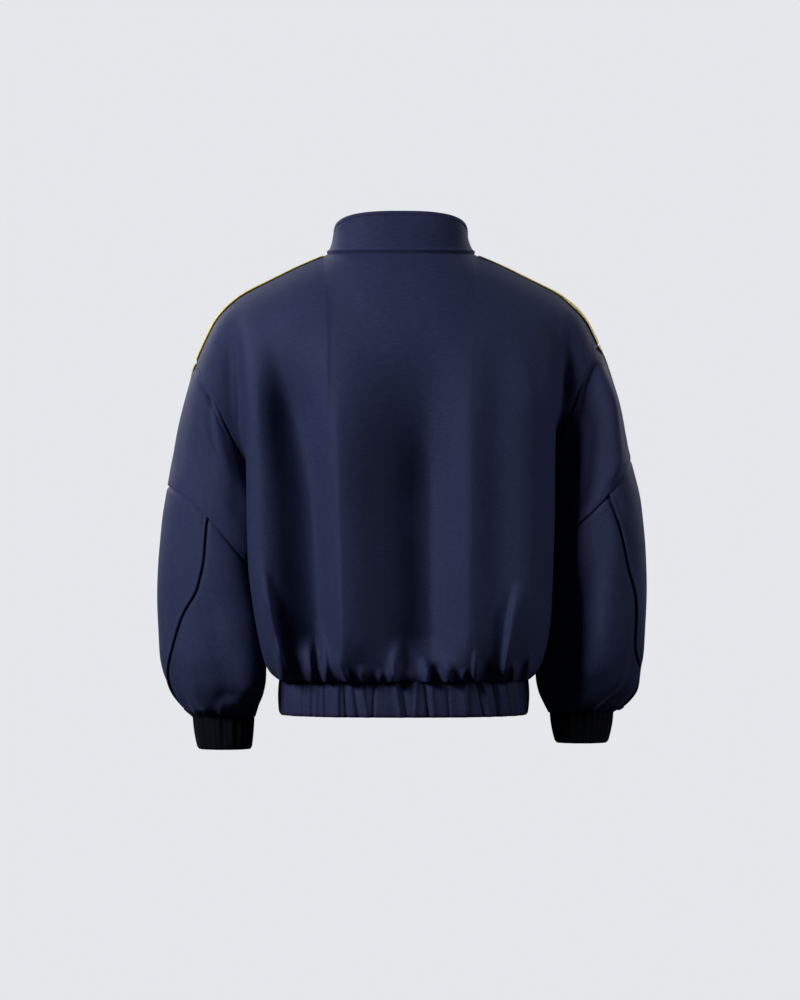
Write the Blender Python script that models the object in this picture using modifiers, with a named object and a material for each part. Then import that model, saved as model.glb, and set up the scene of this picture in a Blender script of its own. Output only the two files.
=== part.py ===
"""Track jacket, built piece by piece as a maker would sew it.

A cropped, oversized jacket in heavy knit with dropped shoulders, a stand collar, a full-length zip,
balloon sleeves, and gathered cuffs and hem. It is filled out and hollow: every cloth piece is an open
sheet of points given a wall, and the neck, hem and cuffs are open.

Frame: metres, +Z up, the back faces +Y and the front faces -Y. The origin is the middle of the neck
opening at the height of the neck seam. The left side (the wearer's left) is at +X.
Heights below the neck seam are written as drops, which are positive downwards.
"""
import math
from collections import namedtuple

import bmesh
import bpy
import numpy as np

# ---- driving sizes ----------------------------------------------------------------------------------
CLOTH = 0.0020             # wall of the body and sleeve cloth
BAND_CLOTH = 0.0024        # wall of the doubled collar, cuffs and hem band
SEAM_GAP = 0.0005          # how far the collar stands above the neck edge
SEAM_INSET = 0.00015       # how far each of two neighbours is drawn back from a flat seam
TURN_INSET = 0.0006        # the same where the cloth turns sharply at the seam
ZIP_HALF_GAP = 0.0050      # from the centre front to each front edge

NECK_HALF = 0.0935         # half width of the neck opening
NECK_BACK = 0.0680         # how far the neck seam reaches back
NECK_FRONT = 0.0860        # how far it reaches forward
NECK_FRONT_DROP = 0.0600   # how far the neck seam falls at the centre front
NECK_POWER = 2.3           # squareness of the neck oval

SEAM_Y = -0.0030           # the shoulder, side and underarm seams lie in this upright plane
DOME = 0.1700              # drop over which the shoulders round down to the full depth
FOLD_TOP = 0.2000          # half width where the side fold begins on the shoulder
HEM_DROP = 0.5290          # bottom edge of the body cloth
HEM_SHIFT = -0.0035        # the hem hangs this far off centre

COLLAR_HALF = 0.0840       # half width of the collar's top edge
COLLAR_BACK = 0.0640       # how far the collar's top edge reaches back
COLLAR_FRONT = 0.0850      # how far it reaches forward
COLLAR_RISE = 0.0520       # height of the collar's top edge at the centre back
COLLAR_TILT = 0.3600       # fall of the top edge for each metre forward
COLLAR_POWER = 2.7

BAND_HALF = 0.1543         # half width of the hem band
BAND_BACK = 0.1125
BAND_FRONT = 0.1000
BAND_TOP = 0.5260          # drop of the band's top edge, inside the body
BAND_BOTTOM = 0.5735
BAND_POWER = 2.5

STRIPE_WIDTH = 0.0240
STRIPE_WALL = 0.0008
STRIPE_LIFT = 0.0010       # space between the tape and the cloth under it

ZIP_DEPTH = 0.0044         # from the cloth's face back to the middle of the zip
TAPE_INNER = 0.0042        # from the centre line to the tape's edge
TAPE_OUTER = 0.0110
TAPE_WALL = 0.0007
CHAIN_HALF = 0.0030
CHAIN_WALL = 0.0018
SLIDER_DROP = 0.0120       # drop of the slider's middle
TAB_LENGTH = 0.0300

NECK_STEPS = 6             # steps along each quarter of the neck seam
ARM_STEPS = 10             # steps over half of the armhole, and half of each sleeve ring

# ---- tables -----------------------------------------------------------------------------------------
# How far behind the shoulder line the tape's rear edge lies, at stations along the shoulder (1 at the
# neck, 3 at the armhole) and then down the sleeve (3 to 6 at the elbow seam). Below 0 it is in front.
StripeEdge = namedtuple("StripeEdge", "station left right")
STRIPE_EDGES = [
    StripeEdge(1.0, 0.0060, 0.0040),
    StripeEdge(1.5, 0.0100, 0.0080),
    StripeEdge(2.0, 0.0140, 0.0150),
    StripeEdge(2.4, 0.0190, 0.0260),
    StripeEdge(3.0, 0.0160, 0.0240),
    StripeEdge(3.3, 0.0020, 0.0120),
    StripeEdge(3.8, -0.0140, -0.0060),
    StripeEdge(6.0, -0.0200, -0.0200),
]

# The shoulder line from the neck to past the armhole: distance from the centre, and drop.
Ridge = namedtuple("Ridge", "out drop")
RIDGE = [
    Ridge(0.000, -0.024),
    Ridge(0.050, -0.017),
    Ridge(0.0935, 0.000),
    Ridge(0.128, 0.0145),
    Ridge(0.162, 0.0310),
    Ridge(0.195, 0.0475),
    Ridge(0.217, 0.0625),
    Ridge(0.232, 0.0800),
    Ridge(0.244, 0.1040),
    Ridge(0.251, 0.1200),
    Ridge(0.258, 0.1380),
]

# Level sections of the body: half width, squareness, depths, the side seam's distance out, and the
# distance out of the soft fold where the body turns towards the arm.
Section = namedtuple("Section", "drop half power back front side fold")
BODY = [
    Section(0.000, 0.3300, 2.6, 0.1280, 0.1160, 0.1700, 0.2000),
    Section(0.050, 0.2900, 2.7, 0.1290, 0.1170, 0.1700, 0.2000),
    Section(0.076, 0.2620, 2.8, 0.1300, 0.1190, 0.1700, 0.2030),
    Section(0.105, 0.2180, 3.3, 0.1310, 0.1210, 0.1700, 0.1930),
    Section(0.130, 0.2000, 3.7, 0.1320, 0.1230, 0.1700, 0.1905),
    Section(0.160, 0.1945, 4.0, 0.1320, 0.1240, 0.1700, 0.1900),
    Section(0.305, 0.1940, 4.0, 0.1310, 0.1250, 0.1690, 0.1897),
    Section(0.380, 0.1925, 4.0, 0.1320, 0.1260, 0.1620, 0.1880),
    Section(0.450, 0.1870, 3.8, 0.1330, 0.1260, 0.1570, 0.1825),
    Section(0.490, 0.1800, 3.6, 0.1320, 0.1240, 0.1565, 0.1755),
    Section(0.510, 0.1745, 3.3, 0.1290, 0.1200, 0.1600, 0.1700),
    Section(0.522, 0.1680, 2.8, 0.1240, 0.1140, 0.1620, 0.1635),
    Section(0.529, 0.1577, 2.6, 0.1160, 0.1035, 0.1577, 0.1530),
]

# The big soft folds of the body. Each line runs down a crest (rise above 0) or a valley (below 0): its
# distance left of the centre at three drops, its rise, where it begins and how soon it is full.
FOLD_DROPS = (0.090, 0.300, 0.520)
FOLD_FADE, FOLD_END = 0.470, 0.525    # the folds fade out between these drops, above the hem
FoldLine = namedtuple("FoldLine", "high middle low rise begin grow")
BACK_FOLDS = [
    FoldLine(0.215, 0.210, 0.200, 0.0000, 0.050, 0.12),
    FoldLine(0.184, 0.178, 0.167, 0.0130, 0.050, 0.12),
    FoldLine(0.156, 0.117, 0.104, -0.0200, 0.085, 0.13),
    FoldLine(0.077, 0.073, 0.069, 0.0090, 0.070, 0.16),
    FoldLine(-0.012, -0.032, -0.035, -0.0140, 0.100, 0.20),
    FoldLine(-0.086, -0.089, -0.086, 0.0060, 0.080, 0.16),
    FoldLine(-0.118, -0.121, -0.122, 0.0010, 0.100, 0.15),
    FoldLine(-0.166, -0.165, -0.158, 0.0100, 0.050, 0.14),
    FoldLine(-0.215, -0.210, -0.200, 0.0000, 0.050, 0.14),
]
FRONT_FOLDS = [
    FoldLine(0.215, 0.210, 0.200, 0.0000, 0.060, 0.12),
    FoldLine(0.182, 0.176, 0.166, 0.0100, 0.060, 0.12),
    FoldLine(0.150, 0.124, 0.110, -0.0150, 0.110, 0.15),
    FoldLine(0.090, 0.084, 0.078, 0.0070, 0.110, 0.16),
    FoldLine(0.034, 0.030, 0.030, -0.0010, 0.150, 0.16),
    FoldLine(-0.034, -0.030, -0.030, -0.0010, 0.150, 0.16),
    FoldLine(-0.086, -0.081, -0.074, 0.0070, 0.110, 0.16),
    FoldLine(-0.152, -0.128, -0.112, -0.0140, 0.100, 0.15),
    FoldLine(-0.182, -0.176, -0.166, 0.0100, 0.060, 0.12),
    FoldLine(-0.215, -0.210, -0.200, 0.0000, 0.060, 0.12),
]

# Rings of the sleeves from the armhole to the cuff: the outer and inner points, half depth, how far
# the ring sags between them, and how much narrower it is towards the underarm.
Ring = namedtuple("Ring", "out drop inner inner_drop depth sag egg")
SLEEVES = {
    "left": [
        Ring(0.2560, 0.1340, 0.1700, 0.3050, 0.084, 0.000, 0.42),
        Ring(0.2695, 0.1800, 0.1705, 0.3270, 0.083, 0.000, 0.28),
        Ring(0.2820, 0.2320, 0.1725, 0.3560, 0.080, 0.000, 0.14),
        Ring(0.2920, 0.2880, 0.1738, 0.3900, 0.080, 0.000, 0.05),
        Ring(0.2990, 0.3380, 0.1732, 0.4180, 0.080, 0.000, 0.00),
        Ring(0.3035, 0.3900, 0.1716, 0.4480, 0.080, 0.000, 0.00),
        Ring(0.3045, 0.4380, 0.1700, 0.4780, 0.080, 0.000, 0.00),
        Ring(0.3020, 0.4880, 0.1680, 0.5080, 0.080, 0.000, 0.00),
        Ring(0.2975, 0.5200, 0.1685, 0.5300, 0.075, 0.000, 0.00),
        Ring(0.2880, 0.5440, 0.1715, 0.5480, 0.066, 0.000, 0.00),
        Ring(0.2750, 0.5610, 0.1775, 0.5630, 0.053, 0.000, 0.00),
        Ring(0.2625, 0.5730, 0.1805, 0.5730, 0.038, 0.000, 0.00),
    ],
    "right": [
        Ring(0.2470, 0.1110, 0.1700, 0.2850, 0.084, 0.000, 0.42),
        Ring(0.2640, 0.1540, 0.1705, 0.3080, 0.088, 0.003, 0.28),
        Ring(0.2780, 0.2040, 0.1725, 0.3380, 0.091, 0.009, 0.14),
        Ring(0.2875, 0.2540, 0.1735, 0.3700, 0.092, 0.014, 0.05),
        Ring(0.3005, 0.3130, 0.1728, 0.4020, 0.092, 0.007, 0.00),
        Ring(0.3060, 0.3720, 0.1712, 0.4350, 0.091, 0.000, 0.00),
        Ring(0.3075, 0.4280, 0.1698, 0.4690, 0.089, 0.000, 0.00),
        Ring(0.3045, 0.4840, 0.1680, 0.5020, 0.084, 0.000, 0.00),
        Ring(0.2995, 0.5200, 0.1685, 0.5260, 0.075, 0.000, 0.00),
        Ring(0.2955, 0.5420, 0.1715, 0.5440, 0.066, 0.000, 0.00),
        Ring(0.2820, 0.5580, 0.1785, 0.5600, 0.053, 0.000, 0.00),
        Ring(0.2690, 0.5670, 0.1825, 0.5680, 0.038, 0.000, 0.00),
    ],
}
BEND = {"left": 0.018, "right": 0.004}   # how far the elbow seam bows up on its outer half
BEND_REACH = 1.3           # rings over which that bow fades
LEAN = {"left": 0.14, "right": -0.18}    # how far the back of each sleeve leans towards the body
ELBOW = 3                  # the ring that is the elbow seam
LAST = 11                  # the ring that meets the cuff

# Angle of the lengthwise seam of the lower sleeve at each ring from the elbow down, in degrees round
# from the outer edge towards the back.
LONG_SEAM = {
    "left": [69, 69, 64, 49, 34, 21, 12, 9, 8],
    "right": [84, 79, 73, 60, 57, 30, 16, 10, 8],
}

# Cuffs: the outer and inner edges at the top and the bottom, and the drops of both ends.
Cuff = namedtuple("Cuff", "out inner foot_out foot_inner top bottom")
CUFFS = {
    "left": Cuff(0.2590, 0.1840, 0.2530, 0.1870, 0.5710, 0.6170),
    "right": Cuff(0.2655, 0.1860, 0.2580, 0.1930, 0.5655, 0.6090),
}
CUFF_DEPTH = 0.0350        # half depth of both cuffs

SIDES = {"left": 1, "right": -1}
BACK, FRONT = 1, -1

# ---- helpers ----------------------------------------------------------------------------------------
def column(table, name):
    """One named column of a table as an array."""
    return np.array([getattr(row, name) for row in table])


def smooth(x, xs, ys):
    """A smooth curve through the points (xs, ys) that never overshoots them (monotone cubic)."""
    xs, ys = np.asarray(xs, float), np.asarray(ys, float)
    step = np.diff(xs)
    rate = np.diff(ys) / step
    slope = np.zeros_like(ys)
    product = rate[:-1] * rate[1:]
    total = np.where(rate[:-1] + rate[1:] == 0, 1.0, rate[:-1] + rate[1:])
    slope[1:-1] = np.where(product > 0, 2.0 * product / total, 0.0)
    slope[0], slope[-1] = rate[0], rate[-1]
    i = np.clip(np.searchsorted(xs, x) - 1, 0, len(step) - 1)
    t = np.clip((x - xs[i]) / step[i], 0.0, 1.0)
    return hermite(t, ys[i], slope[i] * step[i], ys[i + 1], slope[i + 1] * step[i])


def hermite(t, start, leave, end, arrive):
    """The cubic from start to end that leaves and arrives with the given rates."""
    return ((2 * t**3 - 3 * t**2 + 1) * start + (t**3 - 2 * t**2 + t) * leave
            + (3 * t**2 - 2 * t**3) * end + (t**3 - t**2) * arrive)


def ease(t):
    """Rises softly from 0 to 1 as t does."""
    t = np.clip(t, 0.0, 1.0)
    return t * t * (3 - 2 * t)


def squircle(share, power):
    """Height of a rounded square of radius 1 at this share of its width."""
    return (1 - np.clip(np.abs(share), 0, 1)**power)**(1 / power)


def through(table, name, x, key="drop"):
    """A table's column as a smooth function of its key column."""
    return smooth(x, column(table, key), column(table, name))


# ---- the cloth's surfaces ---------------------------------------------------------------------------
def ring_points(side, place, angle):
    """Points of a sleeve ring. Place counts rings from the armhole; the angle goes round from the outer
    edge over the back, the underarm and the front. A ring is a tilted, slightly egg-shaped oval."""
    rings = SLEEVES[side]
    index = np.arange(len(rings))
    value = {name: smooth(place, index, column(rings, name)) for name in Ring._fields}
    lean = LEAN[side] * ease(place / 1.5) * ease((LAST - place) / 3)
    share = (1 - np.cos(angle)) / 2 + lean * np.sin(angle)**2 * (np.sin(angle) > 0)
    out = value["out"] + (value["inner"] - value["out"]) * share
    drop = value["drop"] + (value["inner_drop"] - value["drop"]) * share
    drop = drop + value["sag"] * np.sin(angle)**2
    fading = np.exp(-((place - ELBOW) / BEND_REACH)**2) - np.exp(-(ELBOW / BEND_REACH)**2)
    drop = drop - BEND[side] * np.clip(fading, 0, 1) * np.sin(angle)**2 * np.cos(angle)
    y = SEAM_Y + value["depth"] * np.sin(angle) * (1 - value["egg"] * share)
    return np.stack(np.broadcast_arrays(SIDES[side] * out, y, -drop), axis=-1)


def neck_edge(turn, face):
    """The neck seam of one half, from the centre (turn 0) to the shoulder (turn 1)."""
    angle = turn * math.pi / 2
    x = NECK_HALF * np.sin(angle)**(2 / NECK_POWER)
    reach = NECK_BACK - SEAM_Y if face == BACK else NECK_FRONT + SEAM_Y
    y = SEAM_Y + face * reach * np.clip(np.cos(angle), 0, 1)**(2 / NECK_POWER)
    fall = 0.001 if face == BACK else NECK_FRONT_DROP
    return x, y, fall * np.clip(np.cos(angle), 0, 1)**1.5


def top_edge(side, across, face):
    """Top edge of the back or front: the neck seam (0 to 1), then the shoulder seam (1 to 3)."""
    end = SLEEVES[side][0].out
    x_neck, y_neck, drop_neck = neck_edge(np.clip(across, 0, 1), face)
    x_near = NECK_HALF + (FOLD_TOP - NECK_HALF) * np.clip(across - 1, 0, 1)
    x_far = (end - FOLD_TOP) * np.clip(across - 2, 0, 1)
    x_seam = x_near + x_far
    on_neck = across < 1
    x = np.where(on_neck, x_neck, x_seam)
    y = np.where(on_neck, y_neck, SEAM_Y)
    drop = np.where(on_neck, drop_neck, through(RIDGE, "drop", x_seam, "out"))
    return x, y, drop


def dome(x, drop, face):
    """How far the body stands out from the middle plane: a rounded-square section that the shoulders
    round off towards the shoulder line."""
    depth = through(BODY, "back" if face == BACK else "front", drop)
    ridge = through(RIDGE, "drop", np.clip(x, 0, 0.25), "out")
    rise = np.clip((drop - ridge) / DOME, 0, 1)
    section = squircle(x / through(BODY, "half", drop), through(BODY, "power", drop))
    return face * depth * section * np.sqrt(1 - (1 - rise)**2)


def folded(lines, x, drop):
    """Height of the soft folds at a place on the body: across the cloth it eases from each crest or
    valley line to the next, and further down the lines stand out more, until they fade at the hem."""
    places = [smooth(drop, FOLD_DROPS, (line.high, line.middle, line.low)) for line in lines]
    rises = [line.rise * ease((drop - line.begin) / line.grow) for line in lines]
    total = np.zeros(np.broadcast(x, drop).shape)
    for number in range(len(lines) - 1):
        across = (places[number] - x) / (places[number] - places[number + 1])
        total += (rises[number + 1] - rises[number]) * ease(across)
    return total * ease((FOLD_END - drop) / (FOLD_END - FOLD_FADE))


def body_points(side, face, across, down):
    """Points of one half of the back or front. Across runs from the centre line over the neck (to 1)
    and the shoulder to the side fold (2) and on to the armhole or side seam (3). Down runs from the
    neck and shoulder seams (0) to the underarm (1) and the hem (2)."""
    across, down = np.asarray(across, float)[None, :], np.asarray(down, float)[:, None]
    hand = SIDES[side]
    armhole = SLEEVES[side][0]
    angle = math.pi * np.clip(down, 0, 1)
    share = (1 - np.cos(angle)) / 2
    lower = np.clip(down - 1, 0, 1)
    middle = np.mean([rings[0].inner_drop for rings in SLEEVES.values()])

    def drop_at(place):
        x_top, _, drop_top = top_edge(side, place, face)
        level = middle + (armhole.inner_drop - middle) * ease(x_top / FOLD_TOP)
        upper = (1 - share) * drop_top + share * level
        return np.where(down <= 1, upper, level + (HEM_DROP - level) * lower)

    def inner_at(place):
        """Places between the centre line and the side fold: the dome, moved at the top edge to meet the
        neck seam. The move dies away downwards, quickly near the neck point and slowly at the centre."""
        x_top, y_top, drop_top = top_edge(side, place, face)
        drop = drop_at(place)
        x = x_top * through(BODY, "fold", drop_at(2.0)) / FOLD_TOP
        depth = 0.004 + 0.8 * np.clip(NECK_HALF - x_top, 0, 1)
        settle = (y_top - SEAM_Y - dome(x_top, drop_top, face)) * np.exp(-(drop - drop_top) / depth)
        return x, dome(x, drop, face) + settle + SEAM_Y * (1 - share)**4 * (down <= 1)

    inner = np.clip(across, 0, 2)
    x, y = inner_at(inner)
    fold_x, fold_y = inner_at(np.full((1, 1), 2.0))
    near_x, near_y = inner_at(np.full((1, 1), 1.95))
    end = ring_points(side, np.zeros(1), angle * face)
    drop_end = drop_at(np.full((1, 1), 3.0))
    end_x = np.where(down <= 1, np.abs(end[..., 0]), through(BODY, "side", drop_end))
    end_y = np.where(down <= 1, end[..., 1], SEAM_Y)
    chord = np.hypot(end_x - fold_x, end_y - fold_y)
    step = np.hypot(fold_x - near_x, fold_y - near_y)
    pull = chord * (0.8 + 1.8 * np.sin(angle)**2)
    turn = np.clip(angle, math.pi / 2, math.pi)
    press = chord * (1 + 1.3 * ease((down - 0.6) / 0.4) * ease((1.9 - down) / 0.3))
    t = np.clip(across - 2, 0, 1)
    outer_x = hermite(t, fold_x, pull * (fold_x - near_x) / step, end_x, chord * np.sin(turn))
    outer_y = hermite(t, fold_y, pull * (fold_y - near_y) / step, end_y, press * face * np.cos(turn))
    x = np.where(across <= 2, x, outer_x)
    y = np.where(across <= 2, y, outer_y)
    drop = drop_at(across) + np.zeros_like(x)
    folds = BACK_FOLDS if face == BACK else FRONT_FOLDS
    y = y + face * folded(folds, hand * x, drop) * ease((2.6 - across) / 0.6)
    x = hand * x + HEM_SHIFT * ease((drop - 0.38) / 0.10)
    return np.stack([x, y, -drop], axis=-1)


def band_points(angle, out, centre, reach, back, front, power, height):
    """A level rounded-square ring: angle 0 is the centre front and half a turn is the centre back."""
    wave_x = np.sign(np.sin(angle)) * np.abs(np.sin(angle))**(2 / power)
    wave_y = -np.sign(np.cos(angle)) * np.abs(np.cos(angle))**(2 / power)
    depth = np.where(wave_y > 0, back, front)
    x = centre + (out + reach) * wave_x
    y = (depth + reach) * wave_y
    return np.stack(np.broadcast_arrays(x, y, height), axis=-1)


def collar_points(turn, height):
    """The stand collar. Turn runs from the left front edge (-1) by the centre back (0) to the right
    front edge (1); height from the neck seam (0) to the top edge (1)."""
    turn, height = np.asarray(turn, float)[None, :], np.asarray(height, float)[:, None]
    face = np.where(np.abs(turn) < 0.5, 1.0, -1.0)
    quarter = 1 - np.abs(1 - 2 * np.abs(turn))
    hand = -np.sign(turn)
    back = neck_edge(quarter, BACK)
    front = neck_edge(quarter, FRONT)
    base_x, base_y, base_drop = [np.where(face > 0, b, f) for b, f in zip(back, front)]
    angle = quarter * math.pi / 2
    reach = np.where(face > 0, COLLAR_BACK, COLLAR_FRONT)
    top_x = COLLAR_HALF * np.sin(angle)**(2 / COLLAR_POWER)
    top_y = face * reach * np.clip(np.cos(angle), 0, 1)**(2 / COLLAR_POWER)
    top_z = COLLAR_RISE - COLLAR_TILT * (COLLAR_BACK - top_y)
    flare = (1 - height)**2.2
    x = top_x + (base_x - top_x) * flare
    y = top_y + (base_y - top_y) * flare
    base_z = -base_drop + SEAM_GAP
    return np.stack([hand * x, y, base_z + (top_z - base_z) * height], axis=-1)


# ---- making objects ---------------------------------------------------------------------------------
def drawn_in(points, edges, amount):
    """Moves the named edges of a grid of points inwards along the cloth."""
    points = points.copy()
    for edge in edges:
        line, beside = {
            "top": (points[0], points[1]), "foot": (points[-1], points[-2]),
            "start": (points[:, 0], points[:, 1]), "end": (points[:, -1], points[:, -2]),
        }[edge]
        way = beside - line
        line += amount * way / np.linalg.norm(way, axis=-1, keepdims=True)
    return points


def grid_normals(points, closed=False):
    """Unit normals of a grid of points, across by down."""
    if closed:
        across = np.roll(points, -1, axis=1) - np.roll(points, 1, axis=1)
    else:
        across = np.gradient(points, axis=1)
    normal = np.cross(across, np.gradient(points, axis=0))
    return normal / np.linalg.norm(normal, axis=-1, keepdims=True)


def grid_object(name, points, wall, look, closed=False, outward=1, proud=False):
    """An open sheet through a grid of points, given its wall. Outward is 1 where across by down points
    out of the garment. A proud sheet grows outwards, any other inwards."""
    rows, columns = points.shape[:2]
    row, col = np.meshgrid(np.arange(rows - 1), np.arange(columns if closed else columns - 1),
                           indexing="ij")
    right = (col + 1) % columns
    corners = [row * columns + col, row * columns + right,
               (row + 1) * columns + right, (row + 1) * columns + col]
    quads = np.stack(corners[::outward], axis=-1).reshape(-1, 4)
    mesh = bpy.data.meshes.new(name)
    mesh.from_pydata(points.reshape(-1, 3).tolist(), [], quads.tolist())
    mesh.shade_smooth()
    thing = add_object(name, mesh, look)
    solid = thing.modifiers.new("wall", "SOLIDIFY")
    solid.thickness = wall
    solid.offset = 1 if proud else -1
    return thing


def add_object(name, mesh, look):
    """Puts a mesh into the jacket's collection with its material."""
    mesh.materials.append(look)
    thing = bpy.data.objects.new(name, mesh)
    jacket.objects.link(thing)
    return thing


def material(name, color, roughness, metallic=0.0):
    """A plain surface of one colour."""
    look = bpy.data.materials.new(name)
    look.use_nodes = True
    shader = look.node_tree.nodes["Principled BSDF"]
    shader.inputs["Base Color"].default_value = (*color, 1)
    shader.inputs["Roughness"].default_value = roughness
    shader.inputs["Metallic"].default_value = metallic
    return look


# ---- cloth pieces -----------------------------------------------------------------------------------
def body_rows():
    """Down values of the body's rows, closer together at the shoulder, the underarm and the hem."""
    lower = 1 - (1 - np.linspace(0, 1, 8)[1:])**1.7
    return np.concatenate([[0, 0.03], np.linspace(0, 1, ARM_STEPS + 1)[1:], 1 + lower])


def body_columns():
    """Across values of the columns of one half of the body."""
    return np.concatenate([np.linspace(0, 1, NECK_STEPS + 1), np.linspace(1, 2, 6)[1:],
                           np.linspace(2, 3, 6)[1:]])


def make_back():
    """The whole back in one piece, from armhole to armhole."""
    left = body_points("left", BACK, body_columns(), body_rows())
    right = body_points("right", BACK, body_columns(), body_rows())
    points = np.concatenate([left[:, :0:-1], right], axis=1)
    points = drawn_in(points, ["top"], SEAM_INSET)
    points = drawn_in(points, ["start", "end"], TURN_INSET)
    grid_object("back_panel", points, CLOTH, NAVY, outward=-1)


def zip_lean(drop):
    """The hem hangs a little off centre, and the front edges and zip lean with it."""
    return HEM_SHIFT * ease((drop - 0.38) / 0.10)


def make_front(side):
    """One front, from the zip to the armhole and side seam."""
    hand = SIDES[side]
    points = body_points(side, FRONT, body_columns(), body_rows())
    points[:, 0, 0] = hand * ZIP_HALF_GAP + zip_lean(-points[:, 0, 2])
    points = drawn_in(points, ["top"], SEAM_INSET)
    points = drawn_in(points, ["end"], TURN_INSET)
    grid_object(f"front_{side}", points, CLOTH, NAVY, outward=-hand)


def make_upper_sleeve(side):
    """The upper sleeve, a tube from the armhole to the elbow seam."""
    angle = np.linspace(0, 2 * math.pi, 2 * ARM_STEPS, endpoint=False)[None, :]
    points = ring_points(side, np.linspace(0, ELBOW, 7)[:, None], angle)
    points = drawn_in(points, ["top", "foot"], TURN_INSET)
    grid_object(f"sleeve_upper_{side}", points, CLOTH, NAVY, closed=True, outward=-SIDES[side])


def make_lower_sleeve(side):
    """The two pieces of the lower sleeve, which meet along the lengthwise seam and under the arm."""
    places = ELBOW + (LAST - ELBOW) * (1 - (1 - np.linspace(0, 1, 10))**1.35)
    rings = np.arange(ELBOW, LAST + 1)
    seam = np.radians(smooth(places, rings, LONG_SEAM[side]))[:, None]
    for name, count, end in (("outer", 15, -math.pi), ("under", 9, math.pi)):
        angle = seam + (end - seam) * np.linspace(0, 1, count)[None, :]
        points = ring_points(side, places[:, None], angle)
        points = drawn_in(points, ["top", "start", "end"], TURN_INSET)
        outward = SIDES[side] if name == "outer" else -SIDES[side]
        grid_object(f"sleeve_{name}_{side}", points, CLOTH, NAVY, outward=outward)


def make_cuff(side):
    """The gathered cuff: a short tube whose top edge sits just inside the sleeve's end."""
    cuff = CUFFS[side]
    angle = np.linspace(0, 2 * math.pi, 2 * ARM_STEPS, endpoint=False)[None, :]
    height = np.linspace(0, 1, 3)[:, None]
    out = cuff.out + (cuff.foot_out - cuff.out) * height**2
    inner = cuff.inner + (cuff.foot_inner - cuff.inner) * height**2
    tuck = 0.0008 * ease(height * 2) * np.cos(7 * angle)
    x = (out + inner) / 2 + ((out - inner) / 2 + tuck) * np.cos(angle)
    y = SEAM_Y + (CUFF_DEPTH + tuck) * np.sin(angle)
    z = -(cuff.top + (cuff.bottom - cuff.top) * height)
    points = np.stack(np.broadcast_arrays(SIDES[side] * x, y, z), axis=-1)
    grid_object(f"cuff_{side}", points, BAND_CLOTH, RIB, closed=True, outward=-SIDES[side])


def gathers(angle):
    """Uneven gathers round the hem band."""
    return np.cos(20 * angle + 1.4 * np.sin(3 * angle) + 0.9 * np.sin(7 * angle))


def make_hem_band():
    """The gathered hem band, open at the zip. Its top edge sits just inside the body's lower edge."""
    edge = math.asin((ZIP_HALF_GAP / BAND_HALF)**(BAND_POWER / 2))
    angle = np.linspace(edge, 2 * math.pi - edge, 75)[None, :]
    height = np.array([0.0, 0.4, 1.0])[:, None]
    bulge = np.array([0.0000, 0.0010, 0.0004])[:, None]
    depth = np.array([0.0001, 0.0013, 0.0012])[:, None]
    flat = ease(np.abs(np.sin(angle / 2)) / 0.12)
    reach = bulge + depth * gathers(angle) * flat
    z = -(BAND_TOP + (BAND_BOTTOM - BAND_TOP) * height)
    points = band_points(angle, BAND_HALF, HEM_SHIFT, reach, BAND_BACK, BAND_FRONT, BAND_POWER, z)
    grid_object("hem_band", points, BAND_CLOTH, NAVY, outward=-1)


def make_collar():
    """The stand collar, open at the zip."""
    turn = np.linspace(-1, 1, 4 * NECK_STEPS + 1)
    points = collar_points(turn, np.array([0.0, 0.2, 0.5, 1.0]))
    points[:, 0, 0], points[:, -1, 0] = ZIP_HALF_GAP, -ZIP_HALF_GAP
    grid_object("collar", points, BAND_CLOTH, NAVY, outward=1)


def strip(surface, centre, begin, width, count):
    """A band of even width cut from a grid of points, along its rows. Each column's distances are measured
    down the grid from the centre row, and the band starts at begin, given for each column."""
    length = np.linalg.norm(np.diff(surface, axis=0), axis=-1)
    reached = np.concatenate([np.zeros((1, surface.shape[1])), np.cumsum(length, axis=0)])
    reached = reached - reached[centre]
    share = width * np.linspace(0, 1, count)
    bands = [[np.interp(begin[c] + share, reached[:, c], surface[:, c, axis]) for axis in range(3)]
             for c in range(surface.shape[1])]
    return np.array(bands).transpose(2, 0, 1)


def make_stripes(side):
    """The yellow tape, sewn along the shoulder and on down the upper sleeve to the elbow seam."""
    hand = SIDES[side]
    steps = 40
    across = np.clip(body_columns()[NECK_STEPS:], 1.03, 2.97)
    down = 0.4 * np.linspace(0, 1, steps)
    behind = body_points(side, BACK, across, down)
    before = body_points(side, FRONT, across, down)
    shoulder = np.concatenate([before[:0:-1], behind])
    places = np.clip(np.linspace(0, ELBOW, 7), 0.03, ELBOW - 0.02)
    angles = np.linspace(-1.2, 1.2, 2 * steps - 1)
    sleeve = ring_points(side, places[None, :], angles[:, None])
    for name, surface, stations in (("shoulder", shoulder, across), ("sleeve", sleeve, ELBOW + places)):
        rear = smooth(stations, column(STRIPE_EDGES, "station"), column(STRIPE_EDGES, side))
        points = strip(surface, steps - 1, rear - STRIPE_WIDTH, STRIPE_WIDTH, 5)
        lifted = points + hand * STRIPE_LIFT * grid_normals(points)
        grid_object(f"{name}_stripe_{side}", lifted, STRIPE_WALL, YELLOW, outward=hand, proud=True)


# ---- the zip ----------------------------------------------------------------------------------------
def front_line():
    """The zip's line down the centre front, from the collar's top to the hem: points across the middle
    of the tapes, just behind the cloth."""
    collar = collar_points([1.0], np.linspace(1, 0, 5))[:, 0]
    body = body_points("left", FRONT, [0.0], np.linspace(0.12, 1.84, 12))[:, 0]
    band = np.array([[HEM_SHIFT, -BAND_FRONT, -drop] for drop in (BAND_TOP - 0.004, 0.55, BAND_BOTTOM)])
    line = np.concatenate([collar, body, band])
    line[:, 0] = zip_lean(-line[:, 2])
    line[:, 1] += ZIP_DEPTH
    return line


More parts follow.
